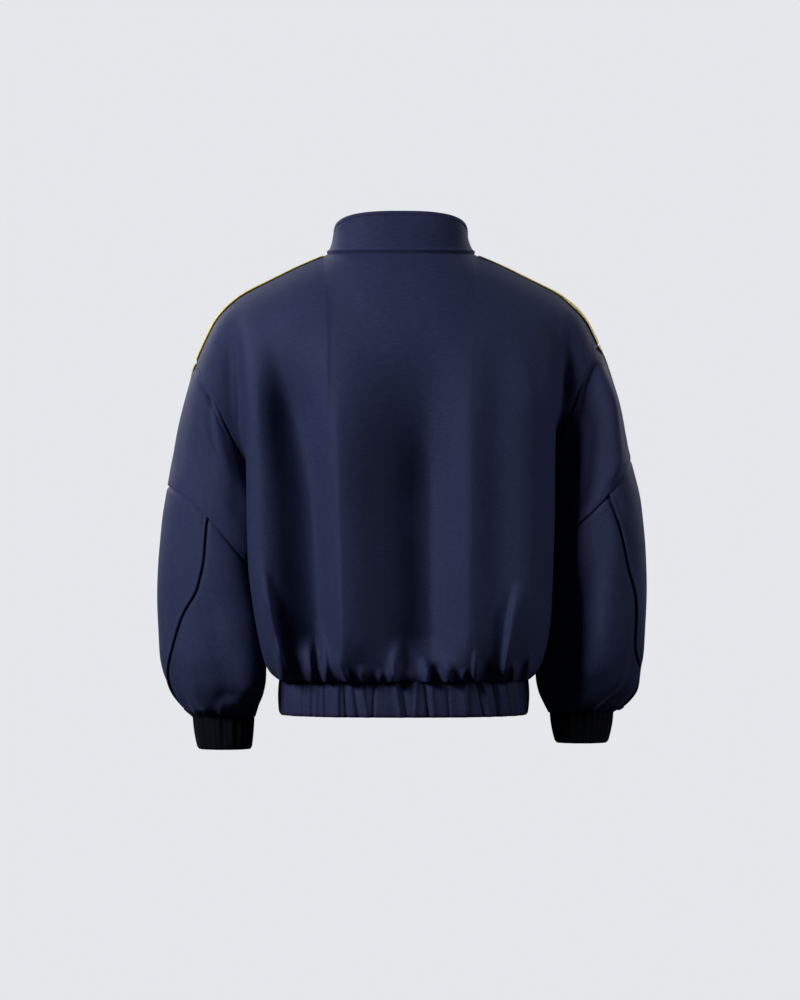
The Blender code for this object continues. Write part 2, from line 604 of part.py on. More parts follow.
def ribbon(name, low, high, thickness, look, start_drop, end_drop):
    """A flat strip along the zip's line, between two distances to the left of it."""
    line = front_line()
    even = np.linspace(start_drop, end_drop, 15)
    at_bends = [NECK_FRONT_DROP - 0.008, NECK_FRONT_DROP, NECK_FRONT_DROP + 0.008,
                BAND_TOP - 0.028, BAND_TOP - 0.014, BAND_TOP - 0.003]
    drops = np.unique(np.concatenate([even, at_bends]))
    x, y = [smooth(drops, -line[:, 2], line[:, axis]) for axis in (0, 1)]
    points = np.stack([np.stack([x + side, y + thickness / 2, -drops], axis=-1)
                       for side in (low, high)], axis=1)
    return grid_object(name, points, thickness, look, outward=1)


def box(bm, low, high):
    """Adds a box between two corners to a bmesh."""
    cube = bmesh.ops.create_cube(bm, size=1.0)["verts"]
    size = [h - l for l, h in zip(low, high)]
    middle = [(h + l) / 2 for l, h in zip(low, high)]
    bmesh.ops.scale(bm, vec=size, verts=cube)
    bmesh.ops.translate(bm, vec=middle, verts=cube)


def joined_boxes(name, boxes, look):
    """One solid of overlapping boxes, joined with Boolean unions."""
    things = []
    for number, (low, high) in enumerate(boxes):
        bm = bmesh.new()
        box(bm, low, high)
        mesh = bpy.data.meshes.new(f"{name}_block_{number}")
        bm.to_mesh(mesh)
        bm.free()
        if number == 0:
            mesh.name = name
            things.append(add_object(name, mesh, look))
            continue
        block = bpy.data.objects.new(mesh.name, mesh)
        block.hide_render = True
        block.display_type = "WIRE"
        cutters.objects.link(block)
        union = things[0].modifiers.new("join", "BOOLEAN")
        union.operation = "UNION"
        union.object = block
    return things[0]


def make_zip():
    """Tapes, chain, bottom stop, and the slider closed at the top with its hanging pull tab."""
    line = front_line()
    top, foot = -line[0, 2] + 0.003, BAND_BOTTOM - 0.003
    for side, hand in SIDES.items():
        edges = sorted((hand * TAPE_INNER, hand * TAPE_OUTER))
        ribbon(f"zip_tape_{side}", *edges, TAPE_WALL, TAPE, top, foot)
    ribbon("zip_chain", -CHAIN_HALF, CHAIN_HALF, CHAIN_WALL, METAL, SLIDER_DROP + 0.001, foot - 0.008)
    lean, depth = [np.interp(foot - 0.004, -line[:, 2], line[:, axis]) for axis in (0, 1)]
    joined_boxes("zip_bottom_stop", [((lean - 0.0036, depth - 0.0016, -foot),
                                      (lean + 0.0036, depth + 0.0016, 0.0072 - foot))], METAL)

    face = np.interp(SLIDER_DROP, -line[:, 2], line[:, 1]) - CHAIN_WALL / 2
    plate_back, plate_front = face - 0.0003, face - 0.0017
    rear_front = face + CHAIN_WALL + 0.0003
    z = -SLIDER_DROP
    bar_y = plate_front - 0.0013
    joined_boxes("zip_slider", [
        ((-0.0040, plate_front, z - 0.0065), (0.0040, plate_back, z + 0.0055)),
        ((-0.0040, rear_front, z - 0.0065), (0.0040, rear_front + 0.0012, z + 0.0055)),
        ((-0.0016, plate_front + 0.0004, z + 0.0020), (0.0016, rear_front + 0.0008, z + 0.0050)),
        ((-0.0013, bar_y - 0.0020, z + 0.0026), (0.0013, plate_front + 0.0004, z + 0.0038)),
        ((-0.0013, bar_y - 0.0020, z - 0.0038), (0.0013, plate_front + 0.0004, z - 0.0026)),
        ((-0.0013, bar_y - 0.0024, z - 0.0038), (0.0013, bar_y - 0.0013, z + 0.0038)),
    ], METAL)

    pull = bpy.data.objects.new("pull_axis", None)
    pull.location = (0.0, bar_y, z)
    jacket.objects.link(pull)
    half = 0.0007
    tab = joined_boxes("zip_pull_tab", [
        ((-0.0037, -half, -half), (0.0037, half, half)),
        ((-0.0037, -half, -0.0080), (-0.0021, half, 0.0002)),
        ((0.0021, -half, -0.0080), (0.0037, half, 0.0002)),
        ((-0.0037, -half, -TAB_LENGTH), (0.0037, half, -0.0058)),
    ], METAL)
    for thing in [tab] + [m.object for m in tab.modifiers]:
        thing.parent = pull


# ---- build ------------------------------------------------------------------------------------------
for leftover in list(bpy.data.objects):
    bpy.data.objects.remove(leftover, do_unlink=True)

jacket = bpy.data.collections.new("track_jacket")
cutters = bpy.data.collections.new("cutters")
bpy.context.scene.collection.children.link(jacket)
bpy.context.scene.collection.children.link(cutters)

NAVY = material("navy_knit", (0.020, 0.028, 0.065), 0.75)
RIB = material("dark_rib", (0.010, 0.013, 0.028), 0.80)
YELLOW = material("yellow_tape", (0.85, 0.62, 0.05), 0.60)
TAPE = material("zip_tape", (0.014, 0.018, 0.040), 0.80)
METAL = material("dark_nickel", (0.30, 0.30, 0.32), 0.35, 1.0)

make_back()
make_hem_band()
make_collar()
for side_name in SIDES:
    make_front(side_name)
    make_upper_sleeve(side_name)
    make_lower_sleeve(side_name)
    make_cuff(side_name)
    make_stripes(side_name)
make_zip()
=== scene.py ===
# %% [markdown]
# # A navy track jacket, filled out and hollow
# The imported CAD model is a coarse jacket: every pattern piece has its true place and size, but wide facets
# and no cloth detail. This lesson puts a fine skin on it. Each cloth piece is a surface worked out with
# numpy on a grid, then given a wall, so seams, folds and gathers are real shape and not only shading.
#
# Heights are written as *drops* below the neck seam, positive downwards. The wearer's left is +X and the
# back faces +Y.

# %% Load the frame and keep its size
import math
from collections import namedtuple

import bpy
import numpy as np
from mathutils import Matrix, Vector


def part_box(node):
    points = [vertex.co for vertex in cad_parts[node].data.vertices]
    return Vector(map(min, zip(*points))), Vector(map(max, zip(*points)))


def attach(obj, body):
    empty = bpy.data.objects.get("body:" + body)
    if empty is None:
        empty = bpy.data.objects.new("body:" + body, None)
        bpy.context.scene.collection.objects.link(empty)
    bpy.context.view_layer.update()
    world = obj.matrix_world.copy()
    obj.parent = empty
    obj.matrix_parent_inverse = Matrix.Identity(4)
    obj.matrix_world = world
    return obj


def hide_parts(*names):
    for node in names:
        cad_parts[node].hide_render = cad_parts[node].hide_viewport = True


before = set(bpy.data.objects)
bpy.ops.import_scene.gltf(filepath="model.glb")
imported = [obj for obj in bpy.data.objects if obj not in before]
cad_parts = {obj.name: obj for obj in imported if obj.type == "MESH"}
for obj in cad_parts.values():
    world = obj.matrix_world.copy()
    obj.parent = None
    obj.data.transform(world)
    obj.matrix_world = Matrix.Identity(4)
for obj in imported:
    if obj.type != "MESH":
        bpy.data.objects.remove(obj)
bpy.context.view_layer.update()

# %% [markdown]
# ## The camera
# A jacket's proportions stay true when it is seen level and from a long way off. So the camera stands
# 6.25 m behind the back with a long lens and looks along -Y at its middle. The frame is 1.25 m high at the
# plane of the shoulder and side seams.

# %% The camera
VIEW_HEIGHT = 1.25
LENS_MM, SENSOR_MM = 180, 36
AIM = (0.001, -0.306)               # across and up, in metres

camera_data = bpy.data.cameras.new("camera")
camera_data.lens = LENS_MM
camera_data.sensor_width = SENSOR_MM
camera = bpy.data.objects.new("camera", camera_data)
camera.location = (AIM[0], VIEW_HEIGHT * LENS_MM / SENSOR_MM, AIM[1])
camera.rotation_euler = (math.pi / 2, 0, math.pi)
bpy.context.scene.collection.objects.link(camera)
bpy.context.scene.camera = camera
print("camera stands", camera.location.y, "m behind the seams")

# %% [markdown]
# ## The room
# The backdrop is one pale grey all over, floor and air alike, so there is no horizon. The floor
# glows with that grey and sends no light to the cloth; the softboxes alone shape it. A large key on the
# wearer's left grazes the back, so that every fold turns from light to dark, and weak fills keep the
# shadows from going black.

# %% The room
PALE = (0.783, 0.799, 0.831, 1)
FLOOR_HEIGHT = -1.30
FLOOR_SIZE = 60.0
AMBIENT = 0.020

world = bpy.data.worlds.new("studio")
bpy.context.scene.world = world
world.use_nodes = True
tree = world.node_tree
tree.nodes.clear()
seen = tree.nodes.new("ShaderNodeBackground")
seen.inputs["Color"].default_value = PALE
felt = tree.nodes.new("ShaderNodeBackground")
felt.inputs["Color"].default_value = PALE
felt.inputs["Strength"].default_value = AMBIENT
rays = tree.nodes.new("ShaderNodeLightPath")
either = tree.nodes.new("ShaderNodeMixShader")
out = tree.nodes.new("ShaderNodeOutputWorld")
tree.links.new(rays.outputs["Is Camera Ray"], either.inputs["Fac"])
tree.links.new(felt.outputs[0], either.inputs[1])
tree.links.new(seen.outputs[0], either.inputs[2])
tree.links.new(either.outputs[0], out.inputs["Surface"])

floor_look = bpy.data.materials.new("floor_grey")
floor_look.use_nodes = True
floor_look.node_tree.nodes.clear()
glow = floor_look.node_tree.nodes.new("ShaderNodeEmission")
glow.inputs["Color"].default_value = PALE
floor_out = floor_look.node_tree.nodes.new("ShaderNodeOutputMaterial")
floor_look.node_tree.links.new(glow.outputs[0], floor_out.inputs["Surface"])

corner = FLOOR_SIZE / 2
floor_mesh = bpy.data.meshes.new("floor")
floor_mesh.from_pydata([(x, y, FLOOR_HEIGHT) for x, y in
                        ((-corner, -corner), (corner, -corner), (corner, corner), (-corner, corner))],
                       [], [(0, 1, 2, 3)])
floor_mesh.materials.append(floor_look)
floor = bpy.data.objects.new("floor", floor_mesh)
bpy.context.scene.collection.objects.link(floor)
floor.visible_diffuse = floor.visible_glossy = floor.visible_shadow = False
bpy.context.scene.view_settings.view_transform = "Standard"


# %% Softboxes
def softbox(name, turn, lift, reach, size, watts):
    """A square light that faces the middle of the jacket. Turn is degrees round from the camera towards
    the wearer's left, lift is degrees above level, reach is its distance."""
    lamp = bpy.data.lights.new(name, "AREA")
    lamp.size = size
    lamp.energy = watts
    box = bpy.data.objects.new(name, lamp)
    a, e = math.radians(turn), math.radians(lift)
    box.location = (reach * math.sin(a) * math.cos(e), reach * math.cos(a) * math.cos(e),
                    AIM[1] + reach * math.sin(e))
    box.rotation_euler = (math.pi / 2 - e, 0, math.pi - a)
    bpy.context.scene.collection.objects.link(box)
    print(f"{name}: {watts} W, {turn} degrees round, {lift} up")


softbox("key", 52, 24, 2.4, 0.7, 44)
softbox("right_fill", -70, 14, 2.8, 0.9, 17)
softbox("front_left", 140, 25, 2.6, 1.4, 34)
softbox("front_right", -140, 25, 2.6, 1.4, 18)

# %% [markdown]
# ## Tables of the jacket's cut
# The jacket's size is held in a few short tables: the shoulder line, level sections of the body, and the
# rings of each sleeve from the armhole to the cuff. A smooth curve runs through each column, so the fine
# surface can be sampled anywhere. Folds and gathers are pushed in later, and they part the body from its
# hem band by a few millimetres.

# %% Tables of the body
NECK_HALF, NECK_BACK, NECK_FRONT = 0.0935, 0.0680, 0.0860
NECK_FRONT_DROP = 0.0600
NECK_POWER = 2.3
SEAM_Y = -0.0030                    # the shoulder, side and underarm seams lie in this upright plane
DOME = 0.1700                       # drop over which the shoulders round down to the full depth
FOLD_TOP = 0.2000
HEM_DROP = 0.5290
HEM_SHIFT = -0.0035                 # the hem hangs a little off centre
ZIP_HALF_GAP = 0.0050
CLOTH, BAND_CLOTH = 0.0020, 0.0024
TURN_INSET, SEAM_INSET = 0.0005, 0.00015
SIDES = {"left": 1, "right": -1}
BACK, FRONT = 1, -1

Ridge = namedtuple("Ridge", "out drop")
RIDGE = [
    Ridge(0.000, -0.024), Ridge(0.050, -0.017), Ridge(0.0935, 0.000), Ridge(0.128, 0.0145),
    Ridge(0.162, 0.0310), Ridge(0.195, 0.0475), Ridge(0.217, 0.0625), Ridge(0.232, 0.0800),
    Ridge(0.244, 0.1040), Ridge(0.251, 0.1200), Ridge(0.258, 0.1380),
]
Section = namedtuple("Section", "drop half power back front side fold")
BODY = [
    Section(0.000, 0.3300, 2.6, 0.1280, 0.1160, 0.1700, 0.2000),
    Section(0.050, 0.2900, 2.7, 0.1290, 0.1170, 0.1700, 0.2000),
    Section(0.076, 0.2620, 2.8, 0.1300, 0.1190, 0.1700, 0.2030),
    Section(0.105, 0.2180, 3.3, 0.1310, 0.1210, 0.1700, 0.1930),
    Section(0.130, 0.2000, 3.7, 0.1320, 0.1230, 0.1700, 0.1905),
    Section(0.160, 0.1945, 4.0, 0.1320, 0.1240, 0.1700, 0.1900),
    Section(0.305, 0.1940, 4.0, 0.1310, 0.1250, 0.1690, 0.1897),
    Section(0.380, 0.1925, 4.0, 0.1320, 0.1260, 0.1620, 0.1880),
    Section(0.450, 0.1870, 3.8, 0.1330, 0.1260, 0.1570, 0.1825),
    Section(0.490, 0.1800, 3.6, 0.1320, 0.1240, 0.1565, 0.1755),
    Section(0.510, 0.1745, 3.3, 0.1290, 0.1200, 0.1600, 0.1700),
    Section(0.522, 0.1680, 2.8, 0.1240, 0.1140, 0.1620, 0.1635),
    Section(0.529, 0.1577, 2.6, 0.1160, 0.1035, 0.1577, 0.1530),
]
print("body sections:", len(BODY), "shoulder points:", len(RIDGE))

# %% Tables of the sleeves
Ring = namedtuple("Ring", "out drop inner inner_drop depth sag egg")
SLEEVES = {
    "left": [
        Ring(0.2560, 0.1340, 0.1700, 0.3050, 0.084, 0.000, 0.42),
        Ring(0.2695, 0.1800, 0.1705, 0.3270, 0.083, 0.000, 0.28),
        Ring(0.2820, 0.2320, 0.1725, 0.3560, 0.080, 0.000, 0.14),
        Ring(0.2920, 0.2880, 0.1738, 0.3900, 0.080, 0.000, 0.05),
        Ring(0.2990, 0.3380, 0.1732, 0.4180, 0.080, 0.000, 0.00),
        Ring(0.3035, 0.3900, 0.1716, 0.4480, 0.080, 0.000, 0.00),
        Ring(0.3045, 0.4380, 0.1700, 0.4780, 0.080, 0.000, 0.00),
        Ring(0.3020, 0.4880, 0.1680, 0.5080, 0.080, 0.000, 0.00),
        Ring(0.2975, 0.5200, 0.1685, 0.5300, 0.075, 0.000, 0.00),
        Ring(0.2880, 0.5440, 0.1715, 0.5480, 0.066, 0.000, 0.00),
        Ring(0.2750, 0.5610, 0.1775, 0.5630, 0.053, 0.000, 0.00),
        Ring(0.2625, 0.5730, 0.1805, 0.5730, 0.038, 0.000, 0.00),
    ],
    "right": [
        Ring(0.2470, 0.1110, 0.1700, 0.2850, 0.084, 0.000, 0.42),
        Ring(0.2640, 0.1540, 0.1705, 0.3080, 0.088, 0.003, 0.28),
        Ring(0.2780, 0.2040, 0.1725, 0.3380, 0.091, 0.009, 0.14),
        Ring(0.2875, 0.2540, 0.1735, 0.3700, 0.092, 0.014, 0.05),
        Ring(0.3005, 0.3130, 0.1728, 0.4020, 0.092, 0.007, 0.00),
        Ring(0.3060, 0.3720, 0.1712, 0.4350, 0.091, 0.000, 0.00),
        Ring(0.3075, 0.4280, 0.1698, 0.4690, 0.089, 0.000, 0.00),
        Ring(0.3045, 0.4840, 0.1680, 0.5020, 0.084, 0.000, 0.00),
        Ring(0.2995, 0.5200, 0.1685, 0.5260, 0.075, 0.000, 0.00),
        Ring(0.2955, 0.5420, 0.1715, 0.5440, 0.066, 0.000, 0.00),
        Ring(0.2820, 0.5580, 0.1785, 0.5600, 0.053, 0.000, 0.00),
        Ring(0.2690, 0.5670, 0.1825, 0.5680, 0.038, 0.000, 0.00),
    ],
}
BEND = {"left": 0.018, "right": 0.004}   # how far the elbow seam bows up on its outer half
BEND_REACH = 1.3                    # rings over which that bow fades
LEAN = {"left": 0.14, "right": -0.18}    # how far the back of each sleeve leans towards the body
ELBOW, LAST = 3, 11                 # the rings of the elbow seam and of the cuff
LONG_SEAM = {                       # degrees round from the outer edge, ring by ring from the elbow down
    "left": [69, 69, 64, 49, 34, 21, 12, 9, 8],
    "right": [84, 79, 73, 60, 57, 30, 16, 10, 8],
}
Cuff = namedtuple("Cuff", "out inner foot_out foot_inner top bottom")
CUFFS = {
    "left": Cuff(0.2590, 0.1840, 0.2530, 0.1870, 0.5710, 0.6170),
    "right": Cuff(0.2655, 0.1860, 0.2580, 0.1930, 0.5655, 0.6090),
}
CUFF_DEPTH = 0.0350
print("sleeve rings:", {side: len(rings) for side, rings in SLEEVES.items()})

# %% [markdown]
# ## Smooth curves through the tables
# A cubic that never overshoots its points keeps the outline honest: no bulge appears between two rows of a
# table. `ease` fades things in and out, and `squircle` is the rounded square that body, collar and band
# share.


# %% Curves
TURN = 2 * math.pi


def column(table, name):
    """One named column of a table as an array."""
    return np.array([getattr(row, name) for row in table])


def hermite(t, start, leave, end, arrive):
    """The cubic from start to end that leaves and arrives with the given rates."""
    return ((2 * t**3 - 3 * t**2 + 1) * start + (t**3 - 2 * t**2 + t) * leave
            + (3 * t**2 - 2 * t**3) * end + (t**3 - t**2) * arrive)


def smooth(x, xs, ys):
    """A smooth curve through the points (xs, ys): the slope at each point is the harmonic mean of the
    slopes beside it, and zero where they differ in sign, so nothing overshoots."""
    xs, ys = np.asarray(xs, float), np.asarray(ys, float)
    step = np.diff(xs)
    rate = np.diff(ys) / step
    slope = np.zeros_like(ys)
    product = rate[:-1] * rate[1:]
    total = np.where(rate[:-1] + rate[1:] == 0, 1.0, rate[:-1] + rate[1:])
    slope[1:-1] = np.where(product > 0, 2.0 * product / total, 0.0)
    slope[0], slope[-1] = rate[0], rate[-1]
    i = np.clip(np.searchsorted(xs, x) - 1, 0, len(step) - 1)
    t = np.clip((x - xs[i]) / step[i], 0.0, 1.0)
    return hermite(t, ys[i], slope[i] * step[i], ys[i + 1], slope[i + 1] * step[i])


def ease(t):
    """Rises softly from 0 to 1: three t squared less two t cubed."""
    t = np.clip(t, 0.0, 1.0)
    return t * t * (3 - 2 * t)


def squircle(share, power):
    """Height of a rounded square of radius 1 at this share of its width."""
    return (1 - np.clip(np.abs(share), 0, 1)**power)**(1 / power)


def through(table, name, x, key="drop"):
    """A table's column as a smooth function of its key column."""
    return smooth(x, column(table, key), column(table, name))


print("half width of the body at the underarm:", through(BODY, "half", np.array([0.305])).round(4))

# %% [markdown]
# ## The shape of each pattern piece
# A sleeve is a row of tilted ovals. The body is a rounded square in plan that the shoulders round off, and
# each of its halves is stretched between the neck seam, the shoulder seam, the armhole and the side seam.
# The body and the first sleeve ring use the same oval, so the armhole closes by itself.


# %% The sleeve's surface
def ring_points(side, place, angle):
    """A ring is an oval between its outer and inner points: half the width times one minus the cosine
    goes across, the half depth times the sine goes front to back. Place counts rings from the armhole."""
    rings = SLEEVES[side]
    index = np.arange(len(rings))
    value = {name: smooth(place, index, column(rings, name)) for name in Ring._fields}
    lean = LEAN[side] * ease(place / 1.5) * ease((LAST - place) / 3)
    share = (1 - np.cos(angle)) / 2 + lean * np.sin(angle)**2 * (np.sin(angle) > 0)
    out = value["out"] + (value["inner"] - value["out"]) * share
    drop = value["drop"] + (value["inner_drop"] - value["drop"]) * share
    drop = drop + value["sag"] * np.sin(angle)**2
    fading = np.exp(-((place - ELBOW) / BEND_REACH)**2) - np.exp(-(ELBOW / BEND_REACH)**2)
    drop = drop - BEND[side] * np.clip(fading, 0, 1) * np.sin(angle)**2 * np.cos(angle)
    y = SEAM_Y + value["depth"] * np.sin(angle) * (1 - value["egg"] * share)
    return np.stack(np.broadcast_arrays(SIDES[side] * out, y, -drop), axis=-1)


print("outer point of the left elbow, m:", ring_points("left", ELBOW, 0.0).round(4).tolist())


# %% The body's neck and shoulder edges
def neck_edge(turn, face):
    """The neck seam of one half, a rounded-square arc from the centre (turn 0) to the shoulder (1)."""
    angle = turn * math.pi / 2
    x = NECK_HALF * np.sin(angle)**(2 / NECK_POWER)
    reach = NECK_BACK - SEAM_Y if face == BACK else NECK_FRONT + SEAM_Y
    y = SEAM_Y + face * reach * np.clip(np.cos(angle), 0, 1)**(2 / NECK_POWER)
    fall = 0.001 if face == BACK else NECK_FRONT_DROP
    return x, y, fall * np.clip(np.cos(angle), 0, 1)**1.5


def top_edge(side, across, face):
    """Top edge of the back or front: the neck seam (0 to 1), then the shoulder seam (1 to 3)."""
    x_neck, y_neck, drop_neck = neck_edge(np.clip(across, 0, 1), face)
    x_seam = (NECK_HALF + (FOLD_TOP - NECK_HALF) * np.clip(across - 1, 0, 1)
              + (SLEEVES[side][0].out - FOLD_TOP) * np.clip(across - 2, 0, 1))
    on_neck = across < 1
    x = np.where(on_neck, x_neck, x_seam)
    y = np.where(on_neck, y_neck, SEAM_Y)
    return x, y, np.where(on_neck, drop_neck, through(RIDGE, "drop", x_seam, "out"))


print("the shoulder seam begins at x =", top_edge("left", np.array([1.0]), BACK)[0][0].round(4), "m")


# %% The body's surface
def dome(x, drop, face):
    """A rounded-square section times a quarter circle in the drop, which rounds the shoulders off."""
    depth = through(BODY, "back" if face == BACK else "front", drop)
    ridge = through(RIDGE, "drop", np.clip(x, 0, 0.25), "out")
    rise = np.clip((drop - ridge) / DOME, 0, 1)
    section = squircle(x / through(BODY, "half", drop), through(BODY, "power", drop))
    return face * depth * section * np.sqrt(1 - (1 - rise)**2)


def hem_lean(drop):
    """How far the body has leaned sideways at this drop, on its way to the hem."""
    return HEM_SHIFT * ease((drop - 0.38) / 0.10)


def body_points(side, face, across, down):
    """One half of the back or front. Across runs from the centre line over the neck (to 1), along the
    shoulder to the side fold (2) and by a cubic on to the armhole or side seam (3). Down runs from the
    shoulder (0) to the underarm (1) and the hem (2)."""
    across, down = np.asarray(across, float)[None, :], np.asarray(down, float)[:, None]
    armhole = SLEEVES[side][0]
    angle = math.pi * np.clip(down, 0, 1)
    share = (1 - np.cos(angle)) / 2
    lower = np.clip(down - 1, 0, 1)
    middle = np.mean([rings[0].inner_drop for rings in SLEEVES.values()])

    def drop_at(place):
        x_top, _, drop_top = top_edge(side, place, face)
        level = middle + (armhole.inner_drop - middle) * ease(x_top / FOLD_TOP)
        upper = (1 - share) * drop_top + share * level
        return np.where(down <= 1, upper, level + (HEM_DROP - level) * lower)

    def inner_at(place):
        """Between centre and side fold: the dome, moved at the top edge to meet the neck seam. The move
        dies away downwards, quickly near the neck point and slowly at the centre."""
        x_top, y_top, drop_top = top_edge(side, place, face)
        drop = drop_at(place)
        x = x_top * through(BODY, "fold", drop_at(2.0)) / FOLD_TOP
        depth = 0.004 + 0.8 * np.clip(NECK_HALF - x_top, 0, 1)
        settle = (y_top - SEAM_Y - dome(x_top, drop_top, face)) * np.exp(-(drop - drop_top) / depth)
        return x, dome(x, drop, face) + settle + SEAM_Y * (1 - share)**4 * (down <= 1)

    x, y = inner_at(np.clip(across, 0, 2))
    fold_x, fold_y = inner_at(np.full((1, 1), 2.0))
    near_x, near_y = inner_at(np.full((1, 1), 1.95))
    end = ring_points(side, np.zeros(1), angle * face)
    drop_end = drop_at(np.full((1, 1), 3.0))
    end_x = np.where(down <= 1, np.abs(end[..., 0]), through(BODY, "side", drop_end))
    end_y = np.where(down <= 1, end[..., 1], SEAM_Y)
    chord = np.hypot(end_x - fold_x, end_y - fold_y)
    step = np.hypot(fold_x - near_x, fold_y - near_y)
    pull = chord * (0.8 + 1.8 * np.sin(angle)**2)
    turn = np.clip(angle, math.pi / 2, math.pi)
    press = chord * (1 + 1.3 * ease((down - 0.6) / 0.4) * ease((1.9 - down) / 0.3))
    t = np.clip(across - 2, 0, 1)
    outer_x = hermite(t, fold_x, pull * (fold_x - near_x) / step, end_x, chord * np.sin(turn))
    outer_y = hermite(t, fold_y, pull * (fold_y - near_y) / step, end_y, press * face * np.cos(turn))
    x = np.where(across <= 2, x, outer_x)
    y = np.where(across <= 2, y, outer_y)
    drop = drop_at(across) + np.zeros_like(x)
    x = SIDES[side] * x + hem_lean(drop)
    return np.stack([x, y, -drop], axis=-1)


seat = body_points("left", BACK, [0, 1, 2, 3], [0, 1, 2])
print("left back, armhole top to hem, mm:", (1000 * seat[:, 3]).round().astype(int).tolist())

# %% The collar's surface and the hem band's
COLLAR_HALF, COLLAR_BACK, COLLAR_FRONT = 0.0840, 0.0640, 0.0850
COLLAR_RISE, COLLAR_TILT, COLLAR_POWER, COLLAR_GAP = 0.0520, 0.3600, 2.7, 0.0005
BAND_HALF, BAND_BACK, BAND_FRONT, BAND_POWER = 0.1543, 0.1125, 0.1000, 2.5
BAND_TOP, BAND_BOTTOM = 0.5260, 0.5735


def collar_points(turn, height):
    """The stand collar: the neck seam at the foot, a rounded square at the top edge, and between them a
    flare that dies away as height does. Turn runs from the left front (-1) by the back to the right (1)."""
    turn, height = np.asarray(turn, float)[None, :], np.asarray(height, float)[:, None]
    face = np.where(np.abs(turn) < 0.5, 1.0, -1.0)
    quarter = 1 - np.abs(1 - 2 * np.abs(turn))
    back, front = neck_edge(quarter, BACK), neck_edge(quarter, FRONT)
    base_x, base_y, base_drop = [np.where(face > 0, b, f) for b, f in zip(back, front)]
    angle = quarter * math.pi / 2
    top_x = COLLAR_HALF * np.sin(angle)**(2 / COLLAR_POWER)
    top_y = (face * np.where(face > 0, COLLAR_BACK, COLLAR_FRONT)
             * np.clip(np.cos(angle), 0, 1)**(2 / COLLAR_POWER))
    top_z = COLLAR_RISE - COLLAR_TILT * (COLLAR_BACK - top_y)
    flare = (1 - height)**2.2
    base_z = COLLAR_GAP - base_drop
    return np.stack([-np.sign(turn) * (top_x + (base_x - top_x) * flare),
                     top_y + (base_y - top_y) * flare, base_z + (top_z - base_z) * height], axis=-1)


def band_points(angle, reach, height):
    """A rounded-square ring: angle 0 is the centre front, half a turn is the centre back."""
    wave_x = np.sign(np.sin(angle)) * np.abs(np.sin(angle))**(2 / BAND_POWER)
    wave_y = -np.sign(np.cos(angle)) * np.abs(np.cos(angle))**(2 / BAND_POWER)
    depth = np.where(wave_y > 0, BAND_BACK, BAND_FRONT)
    return np.stack(np.broadcast_arrays(HEM_SHIFT + (BAND_HALF + reach) * wave_x,
                                        (depth + reach) * wave_y, height), axis=-1)


print("collar's height at the centre back, mm:", round(1000 * COLLAR_RISE))

# %% [markdown]
# ## Working on a sheet of points
# Every cloth piece is a grid of points, so the same few tools serve all of them: distance along the cloth,
# normals, pushing points in or out along the normals, and relaxing the sheet as real cloth evens itself
# out.


# %% Tools for sheets
def runs(points, axis):
    """Distance along the cloth from the first row (axis 0) or the first column (axis 1)."""
    step = np.linalg.norm(np.diff(points, axis=axis), axis=-1)
    start = np.zeros_like(np.take(step, [0], axis=axis))
    return np.concatenate([start, np.cumsum(step, axis=axis)], axis=axis)


def from_edge(points, edge):
    """Distance along the cloth from one named edge of the grid."""
    axis = 0 if edge in ("top", "foot") else 1
    run = runs(points, axis)
    return run if edge in ("top", "start") else np.take(run, [-1], axis=axis) - run


def normals(points, closed=False):
    """Unit normals: the cross product of the ways across and down the grid."""
    if closed:
        across = np.roll(points, -1, axis=1) - np.roll(points, 1, axis=1)
    else:
        across = np.gradient(points, axis=1)
    normal = np.cross(across, np.gradient(points, axis=0))
    return normal / np.maximum(np.linalg.norm(normal, axis=-1, keepdims=True), 1e-12)


def pushed(points, amount, outward, closed=False):
    """Points moved along their normals, outwards where amount is above zero."""
    return points + outward * amount[..., None] * normals(points, closed)


def relaxed(points, rounds):
    """The sheet after each inner point has moved this many times to the mean of its four neighbours."""
    points = points.copy()
    for _ in range(rounds):
        points[1:-1, 1:-1] = (points[:-2, 1:-1] + points[2:, 1:-1]
                              + points[1:-1, :-2] + points[1:-1, 2:]) / 4
    return points


def drawn_in(points, edges, amount):
    """The sheet with the named edges moved inwards along the cloth."""
    points = points.copy()
    for edge in edges:
        line, beside = {"top": (points[0], points[1]), "foot": (points[-1], points[-2]),
                        "start": (points[:, 0], points[:, 1]), "end": (points[:, -1], points[:, -2])}[edge]
        way = beside - line
        line += amount * way / np.linalg.norm(way, axis=-1, keepdims=True)
    return points


def groove(distance, at, half, depth):
    """A soft trough, a bell curve in the distance from an edge."""
    return -depth * np.exp(-((distance - at) / half)**2)


def welt(distance, width, height):
    """A flat raised strip beside a seam, where the turned edges lie under the cloth."""
    return height * ease(distance / 0.0012) * ease((width - distance) / 0.0014 + 0.5)


SEAM_GROOVE = (0, 0.0020, 0.0006)   # the trough beside a plain seam: at its edge, half width and depth
TOPSTITCH, FRONT_TOPSTITCH = 0.0058, 0.0070     # from an edge to its row of topstitching
print("a seam's trough is", 1000 * SEAM_GROOVE[2], "mm deep")

# %% [markdown]
# ## Finishes
# The jacket is a heavy double knit: smooth, with short faint streaks across it where the yarn varies, and a
# soft sheen where it turns away. Each cloth piece carries a UV map in metres that follows the cloth, so a
# course of the knit is as wide on a sleeve as on the back. The bump has the loops and the streaks; the
# colour varies only a little.


# %% Node helpers
def start_look(name):
    """A new material: its node tree and its shader."""
    look = bpy.data.materials.new(name)
    look.use_nodes = True
    return look, look.node_tree, look.node_tree.nodes["Principled BSDF"]


